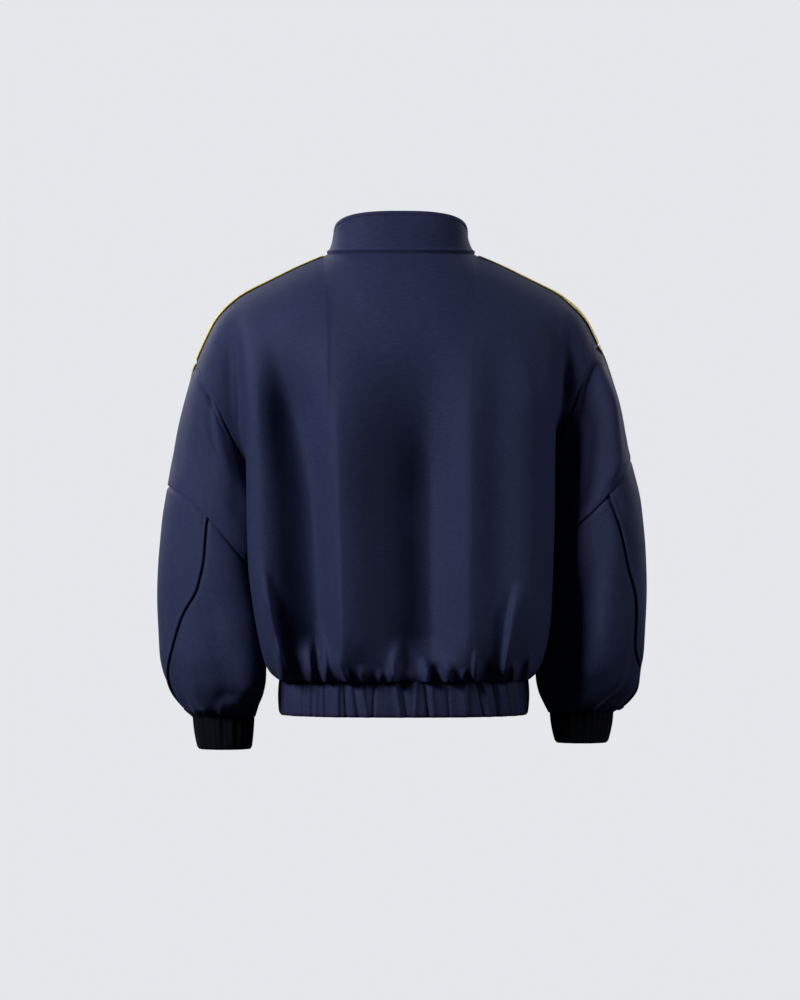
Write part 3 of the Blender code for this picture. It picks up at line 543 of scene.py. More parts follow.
def calc(tree, operation, first, second=0.0):
    """A Math node: each input is a number or another node's output."""
    node = tree.nodes.new("ShaderNodeMath")
    node.operation = operation
    for socket, value in zip(node.inputs, (first, second)):
        if isinstance(value, (int, float)):
            socket.default_value = value
        else:
            tree.links.new(value, socket)
    return node.outputs[0]


def cloth_place(tree):
    """The two directions of the cloth's own map, in metres: across and down."""
    uv = tree.nodes.new("ShaderNodeUVMap")
    uv.uv_map = "cloth"
    split = tree.nodes.new("ShaderNodeSeparateXYZ")
    tree.links.new(uv.outputs["UV"], split.inputs[0])
    return uv.outputs["UV"], split.outputs["X"], split.outputs["Y"]


def noise(tree, vector, scale, detail, stretch=(1, 1, 1)):
    """Noise along a vector whose axes are stretched first."""
    mapping = tree.nodes.new("ShaderNodeMapping")
    mapping.inputs["Scale"].default_value = stretch
    tree.links.new(vector, mapping.inputs["Vector"])
    texture = tree.nodes.new("ShaderNodeTexNoise")
    texture.inputs["Scale"].default_value = scale
    texture.inputs["Detail"].default_value = detail
    tree.links.new(mapping.outputs["Vector"], texture.inputs["Vector"])
    return texture.outputs["Fac"]


def blend_colours(tree, factor, low, high, shader):
    """The base colour, between two colours as the factor goes from 0.25 to 0.75."""
    ramp = tree.nodes.new("ShaderNodeValToRGB")
    ramp.color_ramp.elements[0].position, ramp.color_ramp.elements[0].color = 0.25, (*low, 1)
    ramp.color_ramp.elements[1].position, ramp.color_ramp.elements[1].color = 0.75, (*high, 1)
    tree.links.new(factor, ramp.inputs["Fac"])
    tree.links.new(ramp.outputs["Color"], shader.inputs["Base Color"])


def add_bump(tree, shader, height, strength, distance):
    """A Bump node into the shader's normal."""
    bump = tree.nodes.new("ShaderNodeBump")
    bump.inputs["Strength"].default_value = strength
    bump.inputs["Distance"].default_value = distance
    tree.links.new(height, bump.inputs["Height"])
    tree.links.new(bump.outputs["Normal"], shader.inputs["Normal"])


def set_shader(shader, **values):
    """Numbers on the shader's own sockets; underscores in the names stand for spaces."""
    for name, value in values.items():
        shader.inputs[name.replace("_", " ")].default_value = value


# %% Knit finishes
def knit(name, low, high, rough, sheen, course, streaks):
    """Double knit: sine waves down and across the cloth make the loops, and noise stretched along the
    courses makes the streaks of uneven yarn."""
    look, tree, shader = start_look(name)
    place, across, down = cloth_place(tree)
    streak = noise(tree, place, 1.0, 3.0, (85, 600, 1))
    cloud = noise(tree, place, 14.0, 2.0)
    tone = calc(tree, "ADD", calc(tree, "MULTIPLY", streak, 0.72), calc(tree, "MULTIPLY", cloud, 0.28))
    blend_colours(tree, tone, low, high, shader)
    rows = calc(tree, "SINE", calc(tree, "MULTIPLY", down, TURN / course))
    wales = calc(tree, "SINE", calc(tree, "MULTIPLY", across, TURN / (1.2 * course)))
    loops = calc(tree, "MULTIPLY", calc(tree, "ADD", rows, 1.2), calc(tree, "ADD", wales, 1.6))
    raised = calc(tree, "MULTIPLY", streak, streaks)
    add_bump(tree, shader, calc(tree, "ADD", calc(tree, "MULTIPLY", loops, 0.09), raised), 0.75, 0.0005)
    set_shader(shader, Roughness=rough, Specular_IOR_Level=0.12, Sheen_Weight=sheen, Sheen_Roughness=0.42,
               Sheen_Tint=(0.40, 0.50, 1.00, 1))
    return look


def ribbed(name, low, high, rib, strength):
    """Ribbed cloth: a sine wave across it makes upright ribs, and noise breaks them up a little."""
    look, tree, shader = start_look(name)
    place, across, _ = cloth_place(tree)
    uneven = noise(tree, place, 1.0, 2.0, (240, 60, 1))
    blend_colours(tree, uneven, low, high, shader)
    ribs = calc(tree, "SINE", calc(tree, "MULTIPLY", across, TURN / rib))
    add_bump(tree, shader, calc(tree, "ADD", calc(tree, "MULTIPLY", ribs, 0.5), uneven), strength, 0.0006)
    set_shader(shader, Roughness=0.85, Specular_IOR_Level=0.10, Sheen_Weight=0.03, Sheen_Roughness=0.5,
               Sheen_Tint=(0.5, 0.56, 0.8, 1))
    return look


NAVY = knit("navy_double_knit", (0.0200, 0.0275, 0.0770), (0.0365, 0.0468, 0.1190),
            0.62, 0.08, 0.0011, 0.85)
RIB = ribbed("dark_rib_knit", (0.0022, 0.0029, 0.0056), (0.0036, 0.0046, 0.0088), 0.0024, 0.22)
TAPE = ribbed("zip_tape_weave", (0.0110, 0.0130, 0.0290), (0.0170, 0.0200, 0.0430), 0.0009, 0.60)
print("knit finishes:", NAVY.name, RIB.name, TAPE.name)


# %% Yellow tape, thread and metal
STRIPE_WIDTH, STRIPE_WALL, STRIPE_LIFT = 0.0240, 0.0008, 0.0004


def tape_look():
    """Yellow knit tape with one fine golden line down its middle: the line is where the distance from the
    middle is small."""
    look, tree, shader = start_look("yellow_knit_tape")
    place, along, across = cloth_place(tree)
    off_middle = calc(tree, "ABSOLUTE", calc(tree, "SUBTRACT", across, STRIPE_WIDTH / 2))
    line = calc(tree, "LESS_THAN", off_middle, 0.0007)
    grain = noise(tree, place, 1.0, 2.0, (700, 160, 1))
    tone = calc(tree, "SUBTRACT", grain, calc(tree, "MULTIPLY", line, 0.7))
    blend_colours(tree, tone, (0.78, 0.52, 0.030), (1.00, 0.80, 0.09), shader)
    ribs = calc(tree, "SINE", calc(tree, "MULTIPLY", along, TURN / 0.0010))
    add_bump(tree, shader, calc(tree, "SUBTRACT", calc(tree, "MULTIPLY", ribs, 0.4), line), 0.5, 0.0003)
    set_shader(shader, Roughness=0.55, Sheen_Weight=0.15, Sheen_Roughness=0.4)
    return look


def thread_look(name, low, high):
    """Sewing thread: noise at the scale of its twist."""
    look, tree, shader = start_look(name)
    coordinates = tree.nodes.new("ShaderNodeTexCoord")
    twist = noise(tree, coordinates.outputs["Object"], 2600.0, 1.0)
    blend_colours(tree, twist, low, high, shader)
    set_shader(shader, Roughness=0.5)
    return look


def metal_look():
    """Dark nickel: roughness varies with fine handling marks."""
    look, tree, shader = start_look("dark_nickel")
    coordinates = tree.nodes.new("ShaderNodeTexCoord")
    marks = noise(tree, coordinates.outputs["Object"], 420.0, 4.0)
    blend_colours(tree, marks, (0.20, 0.20, 0.215), (0.34, 0.34, 0.36), shader)
    tree.links.new(calc(tree, "ADD", calc(tree, "MULTIPLY", marks, 0.25), 0.18), shader.inputs["Roughness"])
    set_shader(shader, Metallic=1.0)
    return look


YELLOW, METAL = tape_look(), metal_look()
NAVY_THREAD = thread_look("navy_thread", (0.012, 0.015, 0.040), (0.030, 0.036, 0.085))
GOLD_THREAD = thread_look("golden_thread", (0.60, 0.38, 0.03), (0.90, 0.66, 0.10))
print("trims:", YELLOW.name, NAVY_THREAD.name, GOLD_THREAD.name, METAL.name)

# %% [markdown]
# ## From points to cloth
# `cloth` turns a grid of points into a piece: quads, a UV map in metres, a wall by Solidify and a small
# Bevel, because a cut or turned edge of knit is round. It also says what the piece stands for, so the plain
# CAD solid is hidden.

# %% Making pieces
grids = {}


def add_piece(name, mesh, look, body="jacket", nodes=()):
    """Puts a mesh in the scene with its material, its body and the nodes it replaces."""
    mesh.materials.append(look)
    mesh.shade_smooth()
    piece = bpy.data.objects.new(name, mesh)
    bpy.context.scene.collection.objects.link(piece)
    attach(piece, body)
    if nodes:
        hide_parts(*nodes)
    return piece


def grid_mesh(name, points, closed, outward):
    """Quads between neighbouring points, with a UV map of the distances across and down the cloth."""
    rows, columns = points.shape[:2]
    steps = columns if closed else columns - 1
    row, col = np.meshgrid(np.arange(rows - 1), np.arange(steps), indexing="ij")
    corners = [(row, col), (row, col + 1), (row + 1, col + 1), (row + 1, col)][::outward]
    quads = np.stack([r * columns + c % columns for r, c in corners], axis=-1).reshape(-1, 4)
    mesh = bpy.data.meshes.new(name)
    mesh.from_pydata(points.reshape(-1, 3).tolist(), [], quads.tolist())
    around = np.concatenate([points, points[:, :1]], axis=1) if closed else points
    across, down = runs(around, 1), runs(around, 0)
    across = across - across[:, [across.shape[1] // 2]]
    uv = np.stack([np.stack([across[r, c], down[r, c]], axis=-1) for r, c in corners], axis=-2)
    mesh.uv_layers.new(name="cloth").data.foreach_set("uv", uv.reshape(-1).astype(np.float32))
    return mesh


def cloth(name, points, wall, look, closed=False, outward=1, proud=False, bevel=0.0007):
    """A sheet of cloth through a grid of points, with a wall and a soft edge. Its longest runs across and
    down are worked out but not used."""
    mesh = grid_mesh(name, points, closed, outward)
    piece = add_piece(name, mesh, look, nodes=(name.removesuffix("_cloth"),))
    solid = piece.modifiers.new("wall", "SOLIDIFY")
    solid.thickness = wall
    solid.offset = 1 if proud else -1
    if bevel:
        edge = piece.modifiers.new("soft edge", "BEVEL")
        edge.width, edge.segments = bevel, 2
        edge.limit_method, edge.angle_limit = "ANGLE", math.radians(62)
    around = np.concatenate([points, points[:, :1]], axis=1) if closed else points
    width, length = runs(around, 1)[:, -1].max(), runs(around, 0)[-1].max()
    grids[name] = points

# %% [markdown]
# ## Creases
# Cloth that hangs from a shoulder and is gathered below never lies flat. Each crease is one row of a table:
# where its line begins and ends, how far the line bows sideways, how far it spreads on either side, and how
# far it rises (or sinks, below zero). A bell curve across the line and a soft fade at both ends give the
# shape. Unequal spreads make one flank steep and the other gentle, as in a real fold.

# %% How a crease is worked out
Crease = namedtuple("Crease", "at begin foot end bow left right rise stay", defaults=(0.0,))


def creased(rows, at, down):
    """The sum of all creases in a table: rise, times a bell curve of the distance from the crease's line,
    times a fade in and out along it. `stay` is the share of its height that it keeps at its foot."""
    total = np.zeros(np.broadcast(at, down).shape)
    for row in rows:
        along = np.clip((down - row.begin) / (row.end - row.begin), 0, 1)
        off = at - (row.at + (row.foot - row.at) * along + 4 * row.bow * along * (1 - along))
        spread = np.where(off > 0, row.left, row.right)
        fade = ease(along * 2.6) * (row.stay + (1 - row.stay) * ease((1 - along) * 5))
        total += row.rise * fade * np.exp(-(off / spread)**2)
    return total


def ripple(at, down, size, length):
    """Slight unevenness of hanging cloth: three sine waves that cross at unlike angles."""
    return size / 3 * (np.sin(at / length + 0.7 * np.sin(down / (2.3 * length)))
                       + np.sin(0.63 * at / length - 1.9 * down / (3 * length) + 1.1)
                       + np.sin(1.7 * at / length + 0.9 * down / length + 2.6))


# %% The back's folds and tucks
# The broad folds are lines that run down a crest (rise above 0) or a valley (below 0): the distance left
# of the centre at three drops, the rise, where the line begins and how soon it is full.
FOLD_DROPS = (0.090, 0.300, 0.520)
FOLD_FADE, FOLD_END = 0.470, 0.540
FoldLine = namedtuple("FoldLine", "high middle low rise begin grow")
BACK_FOLDS = [
    FoldLine(0.215, 0.210, 0.200, 0.0000, 0.050, 0.12),
    FoldLine(0.190, 0.187, 0.176, 0.0190, 0.050, 0.12),
    FoldLine(0.156, 0.112, 0.099, -0.0350, 0.085, 0.13),
    FoldLine(0.077, 0.074, 0.068, 0.0170, 0.070, 0.16),
    FoldLine(-0.016, -0.034, -0.035, -0.0330, 0.100, 0.20),
    FoldLine(-0.086, -0.089, -0.086, 0.0110, 0.080, 0.16),
    FoldLine(-0.118, -0.121, -0.122, 0.0030, 0.100, 0.15),
    FoldLine(-0.166, -0.165, -0.158, 0.0130, 0.050, 0.14),
    FoldLine(-0.215, -0.210, -0.200, 0.0000, 0.050, 0.14),
]


def folded(lines, x, drop):
    """Across the cloth the height eases from each crest or valley line to the next; down it, each line
    stands out more and more, and all of them fade out at the hem."""
    places = [smooth(drop, FOLD_DROPS, (line.high, line.middle, line.low)) for line in lines]
    rises = [line.rise * ease((drop - line.begin) / line.grow) for line in lines]
    total = np.zeros(np.broadcast(x, drop).shape)
    for number in range(len(lines) - 1):
        across = (places[number] - x) / (places[number] - places[number + 1])
        total += (rises[number + 1] - rises[number]) * ease(across)
    return total * ease((FOLD_END - drop) / (FOLD_END - FOLD_FADE))


# The tucks are creases: at and foot are distances left of the centre, begin and end are drops.
BACK_TUCKS = [
    Crease(0.202, 0.060, 0.197, 0.420, -0.001, 0.0055, 0.0045, -0.0030, 0.6),
    Crease(0.194, 0.058, 0.189, 0.420, -0.001, 0.0040, 0.0140, 0.0016, 0.6),
    Crease(-0.196, 0.052, -0.188, 0.420, 0.001, 0.0038, 0.0045, 0.0020, 0.6),
    Crease(-0.204, 0.060, -0.195, 0.420, 0.001, 0.004, 0.010, -0.0012, 0.6),
    Crease(-0.146, 0.396, -0.125, 0.541, 0.002, 0.004, 0.014, 0.0050, 0.4),
    Crease(0.170, 0.376, 0.134, 0.541, 0.004, 0.012, 0.006, 0.0065, 0.4),
    Crease(0.152, 0.470, 0.146, 0.545, 0.000, 0.004, 0.007, 0.0040, 0.5),
    Crease(0.112, 0.470, 0.107, 0.545, 0.002, 0.009, 0.005, 0.0050, 0.5),
    Crease(0.101, 0.450, 0.092, 0.545, -0.002, 0.004, 0.006, 0.0050, 0.5),
    Crease(0.083, 0.490, 0.060, 0.540, 0.000, 0.005, 0.006, 0.0035, 0.6),
    Crease(0.048, 0.505, 0.044, 0.545, 0.000, 0.005, 0.008, 0.0025, 0.6),
    Crease(0.026, 0.510, 0.024, 0.545, 0.000, 0.004, 0.004, 0.0025, 0.6),
    Crease(0.000, 0.470, 0.012, 0.545, 0.001, 0.008, 0.005, 0.0045, 0.5),
    Crease(-0.028, 0.495, -0.032, 0.545, -0.002, 0.005, 0.005, 0.0045, 0.6),
    Crease(-0.046, 0.500, -0.046, 0.540, 0.000, 0.006, 0.004, -0.0030, 0.6),
    Crease(-0.054, 0.495, -0.060, 0.545, 0.000, 0.005, 0.009, 0.0040, 0.5),
    Crease(-0.076, 0.510, -0.078, 0.545, 0.000, 0.004, 0.005, 0.0025, 0.6),
    Crease(-0.091, 0.485, -0.090, 0.545, 0.000, 0.003, 0.006, 0.0035, 0.5),
    Crease(-0.108, 0.500, -0.104, 0.545, 0.000, 0.005, 0.004, -0.0025, 0.6),
    Crease(-0.139, 0.500, -0.137, 0.545, 0.000, 0.003, 0.005, 0.0035, 0.6),
    Crease(-0.160, 0.490, -0.153, 0.545, 0.000, 0.004, 0.006, 0.0035, 0.6),
]
print("back: folds", len(BACK_FOLDS), "tucks", len(BACK_TUCKS))

# %% The fronts' folds and tucks
FRONT_FOLDS = [
    FoldLine(0.215, 0.210, 0.200, 0.0000, 0.060, 0.12),
    FoldLine(0.182, 0.176, 0.166, 0.0110, 0.060, 0.12),
    FoldLine(0.150, 0.124, 0.110, -0.0170, 0.110, 0.15),
    FoldLine(0.090, 0.084, 0.078, 0.0080, 0.110, 0.16),
    FoldLine(0.034, 0.030, 0.030, -0.0010, 0.150, 0.16),
    FoldLine(-0.034, -0.030, -0.030, -0.0010, 0.150, 0.16),
    FoldLine(-0.086, -0.081, -0.074, 0.0080, 0.110, 0.16),
    FoldLine(-0.152, -0.128, -0.112, -0.0160, 0.100, 0.15),
    FoldLine(-0.182, -0.176, -0.166, 0.0110, 0.060, 0.12),
    FoldLine(-0.215, -0.210, -0.200, 0.0000, 0.060, 0.12),
]
FRONT_TUCKS = [
    Crease(0.160, 0.396, 0.128, 0.541, 0.003, 0.010, 0.006, 0.0050, 0.4),
    Crease(-0.138, 0.406, -0.118, 0.541, 0.002, 0.005, 0.012, 0.0045, 0.4),
    Crease(0.150, 0.480, 0.144, 0.545, 0.000, 0.005, 0.007, 0.0035, 0.5),
    Crease(0.112, 0.470, 0.106, 0.545, 0.001, 0.008, 0.005, 0.0045, 0.5),
    Crease(0.092, 0.495, 0.086, 0.545, 0.000, 0.005, 0.007, 0.0035, 0.6),
    Crease(0.066, 0.480, 0.064, 0.545, 0.000, 0.006, 0.005, 0.0040, 0.5),
    Crease(0.044, 0.500, 0.046, 0.545, 0.000, 0.005, 0.005, 0.0030, 0.6),
    Crease(0.024, 0.490, 0.026, 0.545, 0.000, 0.005, 0.006, 0.0030, 0.6),
    Crease(-0.026, 0.485, -0.026, 0.545, 0.000, 0.006, 0.005, 0.0032, 0.6),
    Crease(-0.050, 0.500, -0.047, 0.545, 0.000, 0.005, 0.006, 0.0030, 0.6),
    Crease(-0.070, 0.475, -0.066, 0.545, 0.000, 0.005, 0.007, 0.0042, 0.5),
    Crease(-0.094, 0.495, -0.090, 0.545, 0.000, 0.006, 0.005, 0.0034, 0.6),
    Crease(-0.136, 0.490, -0.132, 0.545, 0.000, 0.004, 0.006, 0.0035, 0.6),
    Crease(-0.156, 0.485, -0.150, 0.545, 0.000, 0.004, 0.006, 0.0035, 0.6),
]
print("fronts: folds", len(FRONT_FOLDS), "tucks", len(FRONT_TUCKS))

# %% [markdown]
# ## The back and the fronts
# The back is one piece from armhole to armhole. Its grid is relaxed a little first, which evens out the
# spots where the outline turns, and the folds go on afterwards so that they stay crisp. Near the neck,
# shoulder and armhole seams the folds fade, because the stitching holds the cloth there.

# %% Body cloth
NECK_STEPS, SHOULDER_STEPS, SIDE_STEPS = 38, 58, 46
ARM_STEPS, LOWER_STEPS = 66, 82
RELAX = 14
TUCK_GAIN = 2.4                     # how much deeper the tucks are where the band draws the cloth in


def body_rows():
    """Down values of the rows: even round the armhole, then closer and closer towards the hem."""
    lower = 1 - (1 - np.linspace(0, 1, LOWER_STEPS + 1)[1:])**1.35
    return np.concatenate([np.linspace(0, 1, ARM_STEPS + 1), 1 + lower])


def body_columns():
    """Across values of the columns of one half."""
    return np.concatenate([np.linspace(0, 1, NECK_STEPS + 1), np.linspace(1, 2, SHOULDER_STEPS + 1)[1:],
                           np.linspace(2, 3, SIDE_STEPS + 1)[1:]])


def draped(points, face, folds, tucks):
    """The body sheet with its folds: moved front to back by the creases, less and less near the shoulder
    and the armhole, and with a shallow groove along every seam."""
    x, drop = points[..., 0], -points[..., 2]
    hold = ease((drop - through(RIDGE, "drop", np.clip(np.abs(x), 0, 0.25), "out") - 0.01) / 0.09)
    side = ease(np.minimum(from_edge(points, "start"), from_edge(points, "end")) / 0.035)
    depth = folded(folds, x, drop) * hold * side + TUCK_GAIN * creased(tucks, x, drop) * side
    depth += ripple(x, drop, 0.0012, 0.021) * hold * side * ease(from_edge(points, "foot") / 0.03)
    points = points.copy()
    points[..., 1] += face * depth
    return points


def back_points():
    """Both halves of the back, joined at the centre."""
    left = body_points("left", BACK, body_columns(), body_rows())
    right = body_points("right", BACK, body_columns(), body_rows())
    points = relaxed(np.concatenate([left[:, :0:-1], right], axis=1), RELAX)
    points = draped(points, BACK, BACK_FOLDS, BACK_TUCKS)
    seam = np.minimum(from_edge(points, "start"), from_edge(points, "end"))
    points = pushed(points, groove(seam, *SEAM_GROOVE), -1)
    points = drawn_in(points, ["top"], SEAM_INSET)
    return drawn_in(points, ["start", "end"], TURN_INSET)


back = back_points()
cloth("back_panel_cloth", back, CLOTH, NAVY, outward=-1)


# %% Fronts
UNDERLAP = 0.0036                   # how far one piece runs on under its neighbour at a seam
UNDERLAP_DEPTH = 0.0028             # how far below its neighbour's face it lies there


def front_points(side):
    """One front, with its zip edge straightened and turned under, which leaves a raised strip."""
    hand = SIDES[side]
    points = body_points(side, FRONT, body_columns(), body_rows())
    points[:, 0, 0] = hand * ZIP_HALF_GAP + hem_lean(-points[:, 0, 2])
    points = relaxed(points, RELAX)
    points[:, 0, 0] = hand * ZIP_HALF_GAP + hem_lean(-points[:, 0, 2])
    points = draped(points, FRONT, FRONT_FOLDS, FRONT_TUCKS)
    turned = welt(from_edge(points, "start"), 0.0075, 0.0005)
    armhole = groove(from_edge(points, "end"), *SEAM_GROOVE)
    on_shoulder = ease((body_columns()[None, :] - 1) / 0.04)
    under_back = groove(from_edge(points, "top"), 0, 0.0050, UNDERLAP_DEPTH) * on_shoulder
    points = pushed(points, turned + armhole + under_back, -hand)
    points = drawn_in(points, ["top"], -UNDERLAP * on_shoulder[0][:, None])
    return drawn_in(points, ["end"], TURN_INSET)


fronts = {side: front_points(side) for side in SIDES}
for side, hand in SIDES.items():
    cloth(f"front_{side}_cloth", fronts[side], CLOTH, NAVY, outward=-hand)

# %% [markdown]
# ## The sleeves
# Each sleeve is cut in three pieces: an upper tube from the dropped armhole to a slanting elbow seam, and
# two lower pieces that meet along a curved lengthwise seam and under the arm. The cloth is full, so it
# hangs in broad soft folds and crumples a little over the cuff. On the sleeve, `at` is degrees round from
# the outer edge towards the back, and `begin` and `end` count rings down from the armhole.

# %% Sleeve creases
UPPER_CREASES = {
    "left": [
        Crease(52, -0.30, 66, 1.20, 0, 7, 9, -0.0045),
        Crease(72, 0.10, 82, 2.60, 4, 12, 16, 0.0030),
        Crease(124, 0.20, 128, 3.60, 0, 26, 30, 0.0070, 0.8),
        Crease(-60, -0.20, -75, 1.60, 0, 9, 8, -0.0045),
        Crease(-96, 0.20, -88, 2.90, 0, 14, 18, 0.0045),
        Crease(-135, 0.20, -125, 2.90, 0, 15, 12, -0.0060),
        Crease(22, 0.60, 30, 2.80, -4, 12, 14, -0.0016),
    ],
    "right": [
        Crease(26, -0.60, 74, 3.20, 6, 12, 15, 0.0070, 0.5),
        Crease(62, -0.50, 112, 3.00, 0, 10, 14, -0.0060, 0.4),
        Crease(6, 0.20, 30, 3.20, 4, 10, 10, -0.0030, 0.3),
        Crease(-58, -0.20, -72, 1.80, 0, 8, 9, -0.0040),
        Crease(-90, 0.10, -84, 2.90, 3, 15, 15, 0.0050),
        Crease(-130, 0.30, -128, 2.90, 0, 14, 14, -0.0060),
    ],
}
LOWER_CREASES = {
    "left": [
        Crease(126, 3.4, 132, 9.6, 0, 26, 30, 0.0085),
        Crease(92, 6.0, 104, 9.8, 0, 10, 14, -0.0040),
        Crease(75, 4.6, 92, 10.6, 0, 10, 12, -0.0032, 0.3),
        Crease(52, 6.4, 66, 10.9, -3, 8, 9, 0.0030, 0.4),
        Crease(20, 5.2, 34, 10.7, 3, 10, 9, -0.0028, 0.4),
        Crease(-60, 3.4, -78, 10.4, 5, 13, 13, -0.0050, 0.3),
        Crease(-105, 3.6, -100, 10.4, 0, 14, 14, 0.0055, 0.3),
        Crease(-25, 5.0, -34, 10.7, 0, 9, 12, 0.0032, 0.4),
        Crease(-140, 4.2, -136, 10.6, 0, 10, 12, -0.0045, 0.3),
    ],
    "right": [
        Crease(78, 3.0, 104, 8.6, 5, 13, 14, 0.0050),
        Crease(112, 3.4, 130, 9.8, 0, 12, 12, -0.0050, 0.3),
        Crease(58, 5.6, 72, 10.8, -4, 9, 10, -0.0034, 0.4),
        Crease(36, 6.2, 44, 10.9, 0, 8, 9, 0.0030, 0.4),
        Crease(12, 4.6, 22, 10.6, 2, 10, 9, -0.0024, 0.4),
        Crease(-54, 3.4, -70, 10.5, -4, 12, 13, -0.0048, 0.3),
        Crease(-98, 3.6, -92, 10.4, 0, 14, 13, 0.0052, 0.3),
        Crease(-30, 4.8, -28, 10.7, 0, 10, 10, 0.0030, 0.4),
        Crease(-136, 4.0, -140, 10.6, 0, 11, 12, -0.0042, 0.3),
    ],
}
CUFF_TUCKS = {                      # small pleats where the full sleeve is gathered into the cuff
    "left": [(-150, 0.0022), (-122, 0.0026), (-98, 0.0018), (-71, 0.0028), (-40, 0.0020), (-12, 0.0024),
             (17, 0.0018), (41, 0.0026), (68, 0.0020), (90, 0.0028), (117, 0.0019), (146, 0.0025)],
    "right": [(-155, 0.0024), (-128, 0.0019), (-104, 0.0027), (-80, 0.0020), (-52, 0.0025), (-20, 0.0018),
              (10, 0.0024), (33, 0.0028), (58, 0.0018), (77, 0.0025), (104, 0.0021), (138, 0.0027)],
}
print("sleeve creases:", {side: len(UPPER_CREASES[side]) + len(LOWER_CREASES[side]) for side in SIDES})


# %% Upper sleeves
def wrapped(degrees):
    """Degrees brought to between -180 and 180."""
    return (degrees + 180) % 360 - 180


def sleeve_relief(side, rows, places, degrees):
    """Creases and slight unevenness of a sleeve, by degrees round and rings down."""
    folds = creased(rows[side], wrapped(degrees), places)
    return folds + ripple(places * 0.045, degrees * 0.0012, 0.0011, 0.024)


def upper_points(side):
    """The upper sleeve. Its top edge dips under the armhole's edge, and its foot into the elbow seam."""
    degrees = np.linspace(0, 360, 168, endpoint=False)[None, :]
    places = np.linspace(0, ELBOW, 84)[:, None]
    points = ring_points(side, places, np.radians(degrees))
    top, foot = from_edge(points, "top"), from_edge(points, "foot")
    hold = ease(top / 0.012) * ease(foot / 0.018)
    amount = sleeve_relief(side, UPPER_CREASES, places, degrees) * hold
    at_ridge = np.exp(-(wrapped(degrees) / 26)**2)
    beside = np.exp(-((wrapped(degrees) - 48) / 30)**2)
    amount += groove(top, 0.0080, 0.0065, 0.0052) * beside
    amount += groove(top, 0, 0.0030, UNDERLAP_DEPTH) * (1 - 0.75 * at_ridge)
    amount += groove(foot, *SEAM_GROOVE)
    points = pushed(points, amount, -SIDES[side], closed=True)
    points = drawn_in(points, ["top"], -UNDERLAP)
    return drawn_in(points, ["foot"], TURN_INSET)


uppers = {side: upper_points(side) for side in SIDES}
for side, hand in SIDES.items():
    cloth(f"sleeve_upper_{side}_cloth", uppers[side], CLOTH, NAVY,
          closed=True, outward=-hand)


# %% Lower sleeves
def gathered(side, degrees, distance):
    """Small pleats at the cuff: bell curves round the sleeve that fade within a few centimetres."""
    reach = ease(1 - distance / 0.040) * ease(distance / 0.005)
    return reach * sum(rise * np.exp(-(wrapped(degrees - centre) / 6.5)**2)
                       for centre, rise in CUFF_TUCKS[side])


FOOT_TURN = 0.0042                  # how far the sleeve's foot runs on in towards the cuff


def lower_points(side, name):
    """The outer or under piece of the lower sleeve, from the lengthwise seam to the underarm. The outer
    piece has a raised strip beside that seam, with a groove where it is topstitched."""
    places = ELBOW + (LAST - ELBOW) * (1 - (1 - np.linspace(0, 1, 120))**1.35)
    rings = np.arange(ELBOW, LAST + 1)
    seam = np.radians(smooth(places, rings, LONG_SEAM[side]))[:, None]
    end, count = (-math.pi, 118) if name == "outer" else (math.pi, 74)
    angle = seam + (end - seam) * (np.linspace(0, 1, count)**1.25)[None, :]
    places = places[:, None]
    points = ring_points(side, places, angle)
    top, foot, start = from_edge(points, "top"), from_edge(points, "foot"), from_edge(points, "start")
    underarm = from_edge(points, "end")
    hold = ease(top / 0.018) * ease(underarm / 0.02) * ease(start / 0.012)
    degrees = np.degrees(angle)
    amount = sleeve_relief(side, LOWER_CREASES, places, degrees) * hold * ease(foot / 0.015)
    amount += gathered(side, degrees, foot)
    amount += groove(top, 0, 0.0034, UNDERLAP_DEPTH)
    outward = SIDES[side] if name == "outer" else -SIDES[side]
    if name == "outer":
        amount += welt(start, TOPSTITCH, 0.0012) + groove(start, TOPSTITCH, 0.0011, 0.0007)
        amount += groove(underarm, *SEAM_GROOVE)
        points = drawn_in(pushed(points, amount, outward), ["start", "end"], TURN_INSET)
    else:
        amount += groove(start, 0, 0.0045, UNDERLAP_DEPTH) + groove(underarm, 0, 0.0045, UNDERLAP_DEPTH)
        points = drawn_in(pushed(points, amount, outward), ["start", "end"], -UNDERLAP)
    points = drawn_in(points, ["foot"], -FOOT_TURN)
    return drawn_in(points, ["top"], -UNDERLAP), outward


lowers = {}
for side in SIDES:
    for name in ("outer", "under"):
        points, outward = lower_points(side, name)
        lowers[side, name] = points
        cloth(f"sleeve_{name}_{side}_cloth", points, CLOTH, NAVY, outward=outward)

# %% [markdown]
# ## Cuffs and hem band
# Both are doubled cloth drawn up by elastic, so they are all small upright tucks, no two alike. The cuffs
# are almost black. The band's tucks stand straight near the ends and lean in the middle, where the elastic
# has shifted.


